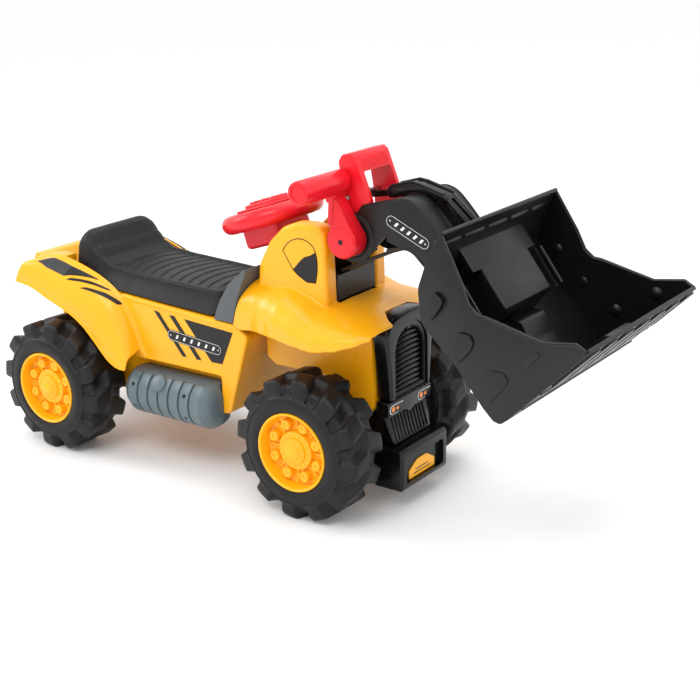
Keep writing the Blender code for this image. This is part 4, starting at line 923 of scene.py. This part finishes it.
# ---- side tanks -------------------------------------------------------------------------
def side_tank(label, side):
    """A ribbed round tank with drain holes, and its round filler cap."""
    low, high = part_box("side_tank_" + label)
    x0, x1 = low.x - REAR_X, high.x - REAR_X
    z, radius = 0.0915, 0.0325
    y = side * 0.0755
    half = (x1 - x0) / 2
    profile = [(0.0, half), (0.012, half - 0.0004), (0.0205, half - 0.003), (0.0272, half - 0.008),
               (0.0308, half - 0.014)]
    bands = 7
    pitch = (2 * half - 0.03) / bands
    for k in range(bands):
        h = half - 0.015 - pitch * (k + 0.5)
        for t in (-0.4, -0.3, 0.0, 0.3, 0.4):
            swell = 0.0 if abs(t) > 0.35 else (-0.0004 if abs(t) > 0.2 else 0.0)
            profile.append((radius + swell, h - pitch * t))
        profile += [(radius - 0.003, h - pitch * 0.45), (radius - 0.003, h - pitch * 0.55)]
    profile = profile[:-2]
    profile += [(0.0308, 0.014 - half), (0.0272, 0.008 - half), (0.0205, 0.003 - half),
                (0.012, 0.0004 - half), (0.0, -half)]
    profile = [p for i, p in enumerate(profile) if i == 0 or profile[i - 1][1] - p[1] > 1e-6]
    tank = lathe(profile, ((x0 + x1) / 2, y, z), (1, 0, 0), 72, "tank")
    cut(tank, box((0.05, 0.3), across(side, 0.02, HULL_Y + 0.0004), (0.0, 0.2)),
        box((0.08, 0.28), across(side, 0.02, 0.12), (0.1179, 0.2)),
        box((0.2435, 0.3), across(side, 0.03, PANEL_Y + 0.0004), (0.0, 0.2)))
    for k in (0, 5):
        x = x0 + 0.015 + pitch * (k + 0.5)
        for lift in (24, -30):
            a = math.radians(lift)
            out = Vector((0, side * math.cos(a), math.sin(a)))
            foot = Vector((x, y, z))
            cut(tank, rod(foot + out * (radius - 0.006), foot + out * (radius + 0.004), 0.0026, 16))
    put(tank, "chassis", "grey_tank", TANK, "side_tank_" + label)
    tank.name = "tank_drum_" + label
    a = math.radians(38)
    out = Vector((0, side * math.cos(a), math.sin(a)))
    cap_x = centre_of("tank_cap_" + label).x - REAR_X
    cap = lathe([(0, 0.0026), (0.0094, 0.0026), (0.0106, 0.002), (0.0112, 0.0004), (0.0114, -0.004),
                 (0, -0.004)], Vector((cap_x, y, z)) + out * (radius + 0.0004), out, 40,
                "tank_filler_" + label)
    put(cap, "chassis", "grey_tank", TANK, "tank_cap_" + label)


# ---- steering wheel ---------------------------------------------------------------------
KEY_ROWS = (-0.0152, 0.0, 0.0152)


def tilted(obj):
    """Stand a shape, made about the origin, on the steering axis."""
    return leaned(obj, STEER_POINT, -STEER_TILT)


def steering_wheel():
    ring, tube_r, steps = 0.052, 0.0112, 96
    rows = []
    for i in range(steps):
        a = 2 * math.pi * i / steps
        row = []
        for j in range(24):
            b = 2 * math.pi * j / 24
            grip = 1.0 - 0.035 * (0.5 + 0.5 * math.cos(24 * a)) * max(0.0, -math.sin(b))
            r = ring + tube_r * grip * math.cos(b)
            row.append((r * math.cos(a), r * math.sin(a), tube_r * grip * math.sin(b)))
        rows.append(row)
    wheel = skin(rows, "wheel_ring", loop=True)
    hub = box(both(0.029), both(0.032), (-0.034, 0.01), 0.006, 4)
    spokes = [box(both(0.012), across(side, 0.028, 0.05), both(0.0075), 0.0035, 3)
              for _, side in sides()]
    wheel = moulded(merged("wheel_ring", wheel, hub, *spokes), 0.001, 6, 0.45)
    cut(wheel, box(both(0.0268), both(0.0298), (-0.03, 0.02), 0.002),
        box(both(0.0062), both(0.0062), (-0.05, 0.0)))
    for z in (-0.024, -0.02, -0.016):
        cut(wheel, box((0.0282, 0.03), both(0.012), (z, z + 0.0016)))
    put(tilted(wheel), "steering", "red_plastic", RED, "steering_wheel", angle=50)
    panel = box(both(0.028), both(0.031), (0.0104, 0.014), 0.0014, 3, "dash_panel")
    union(panel, box(both(0.0238), both(0.0198), (0.0112, 0.018), 0.0022, 4))
    stem = box(both(0.0075), both(0.0075), (-0.02, 0.0106))
    cut(stem, box(both(0.0054), both(0.0054), (-0.03, -0.004)))
    cut(panel, *[box(around(x, 0.0064), both(0.0146), (0.011, 0.03)) for x in KEY_ROWS])
    put(tilted(merged("dash_panel", panel, stem)), "steering", "red_plastic", RED, "button_panel")
    for number, x in enumerate(KEY_ROWS, 1):
        key = box(around(x, 0.0052), both(0.0134), (0.014, 0.0203), 0.0014, 3, "key_%d" % number)
        dots = [lathe([(0, 0.0006), (0.0016, 0.0003), (0.0019, -0.0004), (0, -0.0004)], (x, y, 0.0203),
                      (0, 0, 1), 16) for y in (-0.007, 0.0, 0.007)]
        put(tilted(merged("key_%d" % number, key, *dots)), "button_%d" % number, "red_plastic", RED,
            "sound_button_%d" % number)


# ---- seat -------------------------------------------------------------------------------
SEAT_TOP = [(-0.0045, 0.256), (-0.0025, 0.266), (0.0015, 0.2732), (0.007, 0.2765), (0.013, 0.2768),
            (0.0185, 0.274), (0.03, 0.258), (0.04, 0.245), (0.055, 0.2375), (0.1, 0.2337), (0.15, 0.2315),
            (0.2, 0.2297), (0.2385, 0.2283)]
SEAT_HALF = [(-0.0045, 0.065), (0.006, 0.07), (0.03, 0.073), (0.055, 0.0748), (0.15, 0.0755),
             (0.2385, 0.074)]
SEAT_TAPER = [(-0.0045, 0.004), (0.015, 0.007), (0.04, 0.013), (0.06, 0.0155), (0.2385, 0.0155)]
SEAT_REAR, SEAT_FRONT = -0.0045, 0.2385


def seat_row(x):
    """One section of the seat: tapered sides, raised border, dished pan and curved grooves."""
    half, top, taper = value_at(SEAT_HALF, x), value_at(SEAT_TOP, x), value_at(SEAT_TAPER, x)
    nose = min(1.0, max(0.0, (x - (SEAT_FRONT - 0.01)) / 0.01))
    fall = 1 - math.sqrt(max(0.0, 1 - nose * nose))
    rear = min(1.0, max(0.0, (SEAT_REAR + 0.008 - x) / 0.008))
    half -= 0.0095 * fall + 0.005 * (1 - math.sqrt(1 - rear * rear * 0.999))
    top -= 0.006 * fall
    back = 1 - ease((x - 0.014) / 0.03)
    corner = 0.005 + 0.018 * back
    low = deck(x) + 0.0008 + 0.003 * fall + 0.015 * max(0.0, (0.004 - x) / 0.0085)
    upper = half - taper
    right = [(-half + 0.002, low), (-half, low + 0.002), (-half + taper * 0.45,
                                                          low + (top - corner - low) * 0.45)]
    right += [(-upper + corner - corner * math.cos(math.radians(15 * k)),
               top - corner + corner * math.sin(math.radians(15 * k))) for k in range(7)]
    flat = upper - corner
    middle = []
    for k in range(1, 60):
        y = -flat + 2 * flat * k / 60
        border = flat - abs(y) - 0.0018 - 0.009 * (1 - ease((x - 0.014) / 0.026))
        pan = ease(border / 0.004) * ease((x - 0.0165) / 0.006) * ease((0.225 - x) / 0.005)
        groove_x = x - 0.015 * (y / 0.06) ** 2
        pitch = 0.0158
        near = (groove_x / pitch) % 1.0 - 0.5
        groove = math.exp(-(near * pitch / 0.0013) ** 2)
        groove *= ease((groove_x - 0.04) / 0.004) * ease((0.222 - x) / 0.004) * ease(border / 0.003 - 0.6)
        crown = 0.0012 * (1 - (y / flat) ** 2) * ease((x - 0.045) / 0.02)
        middle.append((y, top + crown - 0.0024 * pan - 0.0024 * groove))
    left = [(-y, z) for y, z in reversed(right)]
    return [(x, y, z) for y, z in right + middle + left]


def seat():
    count = 330
    rows = [seat_row(SEAT_REAR + (SEAT_FRONT - SEAT_REAR) * i / count) for i in range(count + 1)]
    lid = skin(rows, "seat_shell")
    lip = box((0.0325, 0.207), both(0.047), (0.2, 0.219))
    union(lid, lip)
    cuts = [box((0.0365, 0.203), both(0.043), (0.19, 0.2215)),
            box((0.21, 0.229), both(0.047), (0.19, 0.2205))]
    for _, side in sides():
        cuts.append(box((0.038, 0.227), across(side, 0.05, 0.061), (0.19, 0.22)))
        cuts.append(box((0.2262, 0.242), across(side, 0.0494, 0.0571), (0.188, 0.215)))
    cuts.append(pin(SEAT_HINGE, 0.06, 0.0026))
    cut(lid, *cuts)
    put(lid, "seat", "black_seat", SEAT, "seat_lid", angle=50)


# ---- boom, levers and bucket ------------------------------------------------------------
def tube(points, radius, name="tube", steps=8):
    """A round bead along 3D points."""
    curve = bpy.data.curves.new(name, 'CURVE')
    curve.dimensions = '3D'
    curve.bevel_depth = radius
    curve.bevel_resolution = steps // 4
    curve.use_fill_caps = True
    spline = curve.splines.new('POLY')
    spline.points.add(len(points) - 1)
    for point, place in zip(spline.points, points):
        point.co = (*place, 1)
    holder = bpy.data.objects.new(name, curve)
    bpy.context.scene.collection.objects.link(holder)
    bpy.context.view_layer.update()
    mesh = bpy.data.meshes.new_from_object(holder.evaluated_get(bpy.context.evaluated_depsgraph_get()))
    bpy.data.objects.remove(holder)
    bm = bmesh.new()
    bm.from_mesh(mesh)
    bmesh.ops.remove_doubles(bm, verts=bm.verts, dist=1e-6)
    bmesh.ops.recalc_face_normals(bm, faces=bm.faces)
    return made_from(bm, name)


def lift_lever():
    """The red arm with its disc on the boom shaft and the round cross grip."""
    px, pz = BOOM_PIVOT
    outline = arc(BOOM_PIVOT, 0.0195, 25, -215, 40) + fillet([(0.3985, 0.352), (0.399, 0.379),
                                                              (0.415, 0.379), (0.4155, 0.366)],
                                                             [0.02, 0, 0, 0.02])
    arm = rounded(prism(outline, -0.0595, -0.0368, "lever_arm"), 0.0024, 4, 30)
    disc = lathe([(0.0, 0.0016), (0.0155, 0.0016), (0.0172, 0.0012), (0.018, 0.0), (0.018, -0.004),
                  (0.0, -0.004)], (px, -0.0592, pz), (0, -1, 0), 64)
    rib = prism(fillet([(0.402, 0.332), (0.408, 0.332), (0.4118, 0.37), (0.405, 0.37)], 0.002),
                -0.0603, -0.056)
    rib = rounded(rib, 0.0006, 2)
    gx, gz = 0.406, 0.3778
    grip = lathe([(0.0, 0.0), (0.0105, 0.0), (0.0128, 0.0008), (0.0137, 0.0028), (0.0137, 0.078),
                  (0.013, 0.0802), (0.011, 0.0812), (0.0, 0.0812)], (gx, -0.0368, gz), (0, -1, 0), 64)
    union(arm, disc, rib, grip)
    cut(arm, rod((px, -0.07, pz), (px, -0.03, pz), 0.003), lathe([(0.0, 0.0012), (0.0085, 0.0012),
                                                                  (0.0085, -0.001), (0.0, -0.001)],
                                                                 (gx, -0.118, gz), (0, -1, 0), 40))
    put(arm, "boom", "red_plastic", RED, "lift_lever")


def tilt_handle():
    """The D handle: two legs on the boom shaft and a ribbed top bar."""
    outline = fillet([(0.408, 0.323), (0.4065, 0.348), (0.4045, 0.364), (0.3985, 0.398), (0.4035, 0.4062),
                      (0.4172, 0.4092), (0.4225, 0.4055), (0.442, 0.356), (0.4325, 0.318)],
                     [0.01, 0.02, 0.02, 0.005, 0.006, 0.004, 0.004, 0.01, 0])
    outline += arc(BOOM_PIVOT, 0.0125, 0, -150, 16)
    handle = rounded(prism(outline, -0.033, 0.033, "d_handle"), 0.0035, 4, 40)
    window = box((0.38, 0.47), both(0.026), (0.29, 0.3885), 0.002, 2)
    cut(handle, window, pin(BOOM_PIVOT, 0.05, 0.0046),
        pin(LINK_REAR, 0.05, 0.003))
    ribs = []
    for k in range(13):
        y = -0.024 + 0.004 * k
        ribs.append(tube([(0.4282, y, 0.3915), (0.4236, y, 0.403)], 0.0012))
    put(merged("d_handle", handle, *ribs), "handle", "red_plastic", RED, "tilt_handle")


def tilt_link():
    """The black push link: boss, bar with raised edges over the crest, then twin rods."""
    stem = arc(LINK_REAR, 0.0058, 300, 80, 16) + [(0.43, 0.3632), (0.454, 0.3665), (0.454, 0.36),
                                                 (0.43, 0.356)]
    link = rounded(prism(stem, -0.005, 0.005, "push_link"), 0.0012, 3, 30)
    bar = (arc((0.456, 0.3655), 0.0075, 250, 120, 10) + [(0.464, 0.374), (0.4797, 0.3786), (0.49, 0.3776),
           (0.524, 0.3684), (0.529, 0.364), (0.52, 0.359), (0.5, 0.3685), (0.48, 0.368),
           (0.462, 0.36)])
    union(link, rounded(prism(bar, -0.0115, 0.0115), 0.0022, 4, 30))
    extras = []
    for _, side in sides():
        edge = [(0.4545, 0.3722), (0.464, 0.3748), (0.4797, 0.3792), (0.49, 0.3782), (0.5236, 0.369)]
        extras.append(tube([(x, side * 0.0098, z) for x, z in edge], 0.0018))
        fork = [(0.523, 0.3655), (0.529, 0.3605), (0.54, 0.351), (0.554, 0.3385), LINK_FRONT]
        extras.append(tube([(x, side * 0.0068, z) for x, z in fork], 0.0036, steps=16))
    head = lathe([(0.0034, -0.0112), (0.0065, -0.0112), (0.0065, 0.0112), (0.0034, 0.0112)],
                 (LINK_FRONT[0], 0, LINK_FRONT[1]), (0, 1, 0), 32)
    put(merged("push_link", link, head, *extras), "link", "black_plastic", BLACK, "tilt_link")


BOOM_TOP = [(0.47, 0.3625), (0.4778, 0.3658), (0.4908, 0.368), (0.5035, 0.366), (0.5158, 0.3575),
            (0.5368, 0.335), (0.556, 0.311)]
BOOM_UNDER = [(0.566, 0.264), (0.54, 0.276), (0.5175, 0.2974), (0.5028, 0.3096), (0.488, 0.3115),
              (0.47, 0.307)]
BOOM_Y = 0.0435
NECK_Y = 0.0363


def boom_shell(label, side):
    """Half of the boom: neck plate with its drum, boxed elbow and the flange under it."""
    elbow = (smooth_line(BOOM_TOP, 30) + arc(BUCKET_PIVOT, 0.015, 50, -130, 20)
             + smooth_line(BOOM_UNDER, 24))
    shell = rounded(prism(elbow, *across(side, 0.0004, BOOM_Y), name="boom_half"), 0.0024, 3, 40)
    neck = (arc(BOOM_PIVOT, 0.0295, 228, 80, 36)
            + [(0.4324, 0.353), (0.456, 0.36), (0.476, 0.365), (0.49, 0.35), (0.49, 0.318),
               (0.472, 0.319), (0.463, 0.3205), (0.4581, 0.3095), (0.4383, 0.2951)])
    plate = rounded(prism(neck, *across(side, 0.0338, NECK_Y)), 0.001, 2, 40)
    tail = prism([(0.496, 0.3105), (0.486, 0.3082), (0.474, 0.304), (0.448, 0.2922), (0.4031, 0.2727),
                  (0.402, 0.2762), (0.446, 0.2957), (0.472, 0.3078), (0.488, 0.3125)],
                 *across(side, 0.018, NECK_Y + 0.0012))
    union(shell, plate, rounded(tail, 0.0008, 2))
    px, pz = BOOM_PIVOT
    hollow = [(0.474, 0.359), (0.4908, 0.3648), (0.5035, 0.3628), (0.514, 0.355), (0.534, 0.333),
              (0.556, 0.305), (0.56, 0.272), (0.541, 0.28), (0.518, 0.301), (0.5028, 0.313), (0.488, 0.315),
              (0.474, 0.311)]
    cut(shell, prism(hollow, *across(side, -0.01, BOOM_Y - WALL)),
        prism([(0.463, 0.3207), (0.4872, 0.3126), (0.4716, 0.3082), (0.4575, 0.302), (0.45, 0.306)],
              *across(side, 0.005, 0.06)),
        box((0.38, 0.486), across(side, -0.01, 0.0334), (0.316, 0.4)),
        box((0.46, 0.548), across(side, -0.01, 0.0125), (0.332, 0.4)),
        pin(BOOM_PIVOT, 0.1, 0.0046), pin(BUCKET_PIVOT, 0.1, 0.0044))
    out = side * NECK_Y
    drum = lathe([(0.0046, -0.0012), (0.0288, -0.0012), (0.0288, 0.0008), (0.0272, 0.0016),
                  (0.0225, 0.0016), (0.0215, 0.0004), (0.0046, 0.0004)], (px, out, pz), (0, side, 0), 64)
    extras = [drum]
    crest = [(x, side * (BOOM_Y - 0.0012), z - 0.0009) for x, z in
             smooth_line([(0.475, 0.3632)] + BOOM_TOP[2:], 26)]
    extras.append(tube(crest, 0.0016))
    sole = [(x, side * (BOOM_Y - 0.001), z + 0.0006) for x, z in
            smooth_line(BOOM_UNDER[1:], 24)]
    extras.append(tube(sole, 0.0018))
    put(merged("boom_half_" + label, shell, *extras), "boom", "black_plastic", BOOM_BLACK,
        "boom_shell_" + label)


def boom_labels():
    for label, side in sides():
        y = side * (BOOM_Y + 0.0001)
        dark, light = nameplate((0.4768, 0.3414), (0.5188, 0.3222), 0.0072, y, 5)
        put(merged("boom_label_" + label, *dark), "boom", "black_plastic", DECAL)
        put(merged("boom_label_line_" + label, *light), "boom", "black_plastic", DECAL_WHITE)


BUCKET_BACK = [(0.5877, 0.358), (0.574, 0.329), (0.5655, 0.3), (0.5712, 0.2635), (0.6125, 0.2249),
               (0.6444, 0.1861), (0.656, 0.175), (0.664, 0.173), (0.672, 0.179), (0.7587, 0.264)]
BUCKET_RIM = [(0.7443, 0.2714), (0.709, 0.2664), (0.6453, 0.2817), (0.635, 0.2828), (0.6247, 0.2913),
              (0.6148, 0.3132)]
POCKET_FACE = [(0.576, 0.33), (0.6249, 0.266), (0.604, 0.239)]
BUCKET_INNER = [(0.762, 0.2705), (0.67, 0.1812), (0.664, 0.1768), (0.6575, 0.178), (0.6466, 0.1884),
                (0.6148, 0.227), (0.5745, 0.265), (0.5686, 0.2998), (0.577, 0.3285), (0.5915, 0.36)]
BUCKET_PADS = [[(0.5768, 0.2915), (0.5862, 0.3), (0.5975, 0.2925), (0.5948, 0.285), (0.58, 0.264)],
               [(0.599, 0.243), (0.6158, 0.2619), (0.6289, 0.2612), (0.6332, 0.2541), (0.63, 0.2456),
                (0.6135, 0.2265)], [(0.6356, 0.2095), (0.6529, 0.229), (0.6678, 0.2288), (0.6736, 0.222),
                                    (0.6701, 0.2144), (0.65, 0.191)],
               [(0.6871, 0.2422), (0.7007, 0.2573), (0.7089, 0.255), (0.693, 0.2372)]]


def bucket_half(x, z):
    return 0.123 + 0.0085 * min(1.0, max(0.0, (0.358 - z) / 0.08))


def bucket():
    """The loader bucket, with its boom pocket, floor rib, side pads, beaded rim and teeth."""
    back = fillet(BUCKET_BACK + BUCKET_RIM, [0, 0.01, 0.02, 0.02, 0.02, 0.01, 0.006, 0.006, 0.006, 0.001,
                                             0.003, 0.01, 0.01, 0.01, 0.01, 0.01])
    shell = rounded(prism(back, -1, 1, "scoop_shell", bucket_half), 0.0016, 3, 50)
    inner = fillet(BUCKET_INNER, [0, 0.006, 0.006, 0.006, 0.01, 0.02, 0.02, 0.02, 0.01, 0])
    cut(shell, prism(inner + [(0.6, 0.43), (0.82, 0.43), (0.82, 0.2705)], -1, 1,
                     widths=lambda x, z: bucket_half(x, z) - WALL))
    housing = rounded(prism([(0.57, 0.327)] + POCKET_FACE + [(0.59, 0.2475), (0.57, 0.265)],
                            -0.05, 0.05), 0.003, 3, 30)
    wing = prism([(0.576, 0.33), (0.5945, 0.3058), (0.5905, 0.3025), (0.57, 0.315)], -0.0665, 0.0665)
    union(shell, housing, rounded(wing, 0.0016, 2))
    cut(shell, prism([(0.54, 0.322), (0.5735, 0.3275), (0.6208, 0.2655), (0.602, 0.242), (0.584, 0.246),
                      (0.56, 0.254), (0.54, 0.26)], -0.047, 0.047))
    bx, bz = BUCKET_PIVOT
    extras = []
    for _, side in sides():
        ear = prism(arc(LINK_FRONT, 0.006, 70, 290, 16) + [(0.5705, 0.3105), (0.5768, 0.332)],
                    *across(side, 0.013, 0.0175))
        cut(ear, pin(LINK_FRONT, 0.05, 0.0026))
        extras.append(ear)
        extras.append(lathe([(0.0044, 0.0), (0.009, 0.0), (0.009, 0.012), (0.0044, 0.012)],
                            (bx, side * 0.045, bz), (0, side, 0), 32))
        for pad in BUCKET_PADS:
            shape = prism(fillet(pad, 0.004), *across(side, 0.129, 0.1331))
            extras.append(rounded(shape, 0.0014, 3, 50))
        edge = [(0.589, 0.3572)] + BUCKET_RIM[::-1] + [(0.756, 0.265)]
        extras.append(tube([(x, side * (bucket_half(x, z) - 0.0012), z - 0.0004) for x, z in edge], 0.0021))
        for x, z, r in ((0.5912, 0.2883, 0.0075), (0.6245, 0.2534, 0.0085), (0.7128, 0.252, 0.0085),
                        (0.6649, 0.2254, 0.0085)):
            dome = [(0, 0.0042), (r * 0.45, 0.0036), (r * 0.8, 0.002), (r, 0.0), (r, -0.0008), (0, -0.0008)]
            extras.append(lathe(dome, (x, side * (bucket_half(x, z) - WALL), z), (0, -side, 0), 28))
        for x0, z0, x1, z1 in ((0.583, 0.296, 0.612, 0.256), (0.59, 0.3, 0.618, 0.262)):
            extras.append(tube([(x0, side * 0.086, z0), (x1, side * 0.086, z1)], 0.002))
    extras.append(tube([(0.5895, y, 0.3572) for y in (-0.1215, 0.1215)], 0.0026))
    extras.append(tube([(0.756, y, 0.2655) for y in (-0.129, 0.129)], 0.002))
    rib = prism(fillet([(0.61, 0.248), (0.629, 0.247), (0.64, 0.226), (0.656, 0.208), (0.674, 0.205),
                        (0.724, 0.248), (0.74, 0.25), (0.67, 0.18), (0.66, 0.176),
                        (0.62, 0.222)], [0.003, 0.008, 0.02, 0.012, 0.02, 0.008, 0, 0, 0, 0]),
                -0.026, 0.026)
    extras.append(rounded(rib, 0.0045, 4, 30))
    for k in range(5):
        y = -0.096 + 0.048 * k
        extras.append(box((0.576, 0.585), around(y, 0.02), (0.3415, 0.3475), 0.001, 2))
    (heel_x, heel_z), (lip_x, lip_z) = BUCKET_BACK[-2:]
    floor_dir = Vector((lip_x - heel_x, 0, lip_z - heel_z)).normalized()
    floor_out = Vector((floor_dir.z, 0, -floor_dir.x))
    start = Vector((heel_x, 0, heel_z))
    for k in range(7):
        y = -0.114 + 0.038 * k
        tooth = box((0.062, 0.119), around(y, 0.0105), (-0.0004, 0.0026), 0.001, 2)
        turn = Matrix((floor_dir, (0, 1, 0), floor_out)).transposed().to_4x4()
        tooth.data.transform(Matrix.Translation(start) @ turn)
        if turn.determinant() < 0:
            tooth.data.flip_normals()
        extras.append(tooth)
    for reach in (0.02, 0.048, 0.09):
        spot = start + floor_dir * reach + floor_out * 0.0002
        extras.append(tube([(spot.x, y, spot.z) for y in (-0.127, 0.127)], 0.0013))
    put(merged("scoop_shell", shell, *extras), "scoop", "black_plastic", SCOOP, "bucket")


# ---- kept CAD pieces --------------------------------------------------------------------
def painted(node, material, bevel=0.0):
    """A CAD node kept as it is, with a better material and, where asked, eased edges."""
    obj = NODES[node]
    for slot in obj.material_slots:
        slot.material = material
    if not obj.material_slots:
        obj.data.materials.append(material)
    if bevel:
        mod(obj, 'DECIMATE', decimate_type='DISSOLVE', angle_limit=math.radians(1.0))
        mod(obj, 'BEVEL', width=bevel, segments=2, limit_method='ANGLE', angle_limit=math.radians(40),
            use_clamp_overlap=True)


camera()
studio()
wheels()
rear_body()
stickers()
front_cowl()
saddle_trim()
grille()
nose_lamps()
nose_guard()
bumper()
for name, sign in sides():
    side_tank(name, sign)
    boom_shell(name, sign)
steering_wheel()
seat()
lift_lever()
tilt_handle()
tilt_link()
boom_labels()
bucket()

painted("front_frame", YELLOW, 0.0012)
painted("boom_mount", BLACK, 0.001)
for node in ("front_axle_beam", "knuckle_left", "knuckle_right", "sound_module"):
    painted(node, INNER, 0.0006)
for node in ("axle_bush_left", "axle_bush_right"):
    painted(node, INNER)
for node in ("rear_axle", "kingpin_left", "kingpin_right", "seat_hinge_pin", "steering_rod", "tie_rod",
             "stub_axle_left", "stub_axle_right", "boom_shaft", "handle_pin", "link_pin",
             "bucket_shaft"):
    painted(node, STEEL)
# Painted shade: the steel lever screw gets the dark inner black to stand in for the shade in the recess it
# sits in.
painted("lever_screw", INNER)
painted("battery_1", CELL)
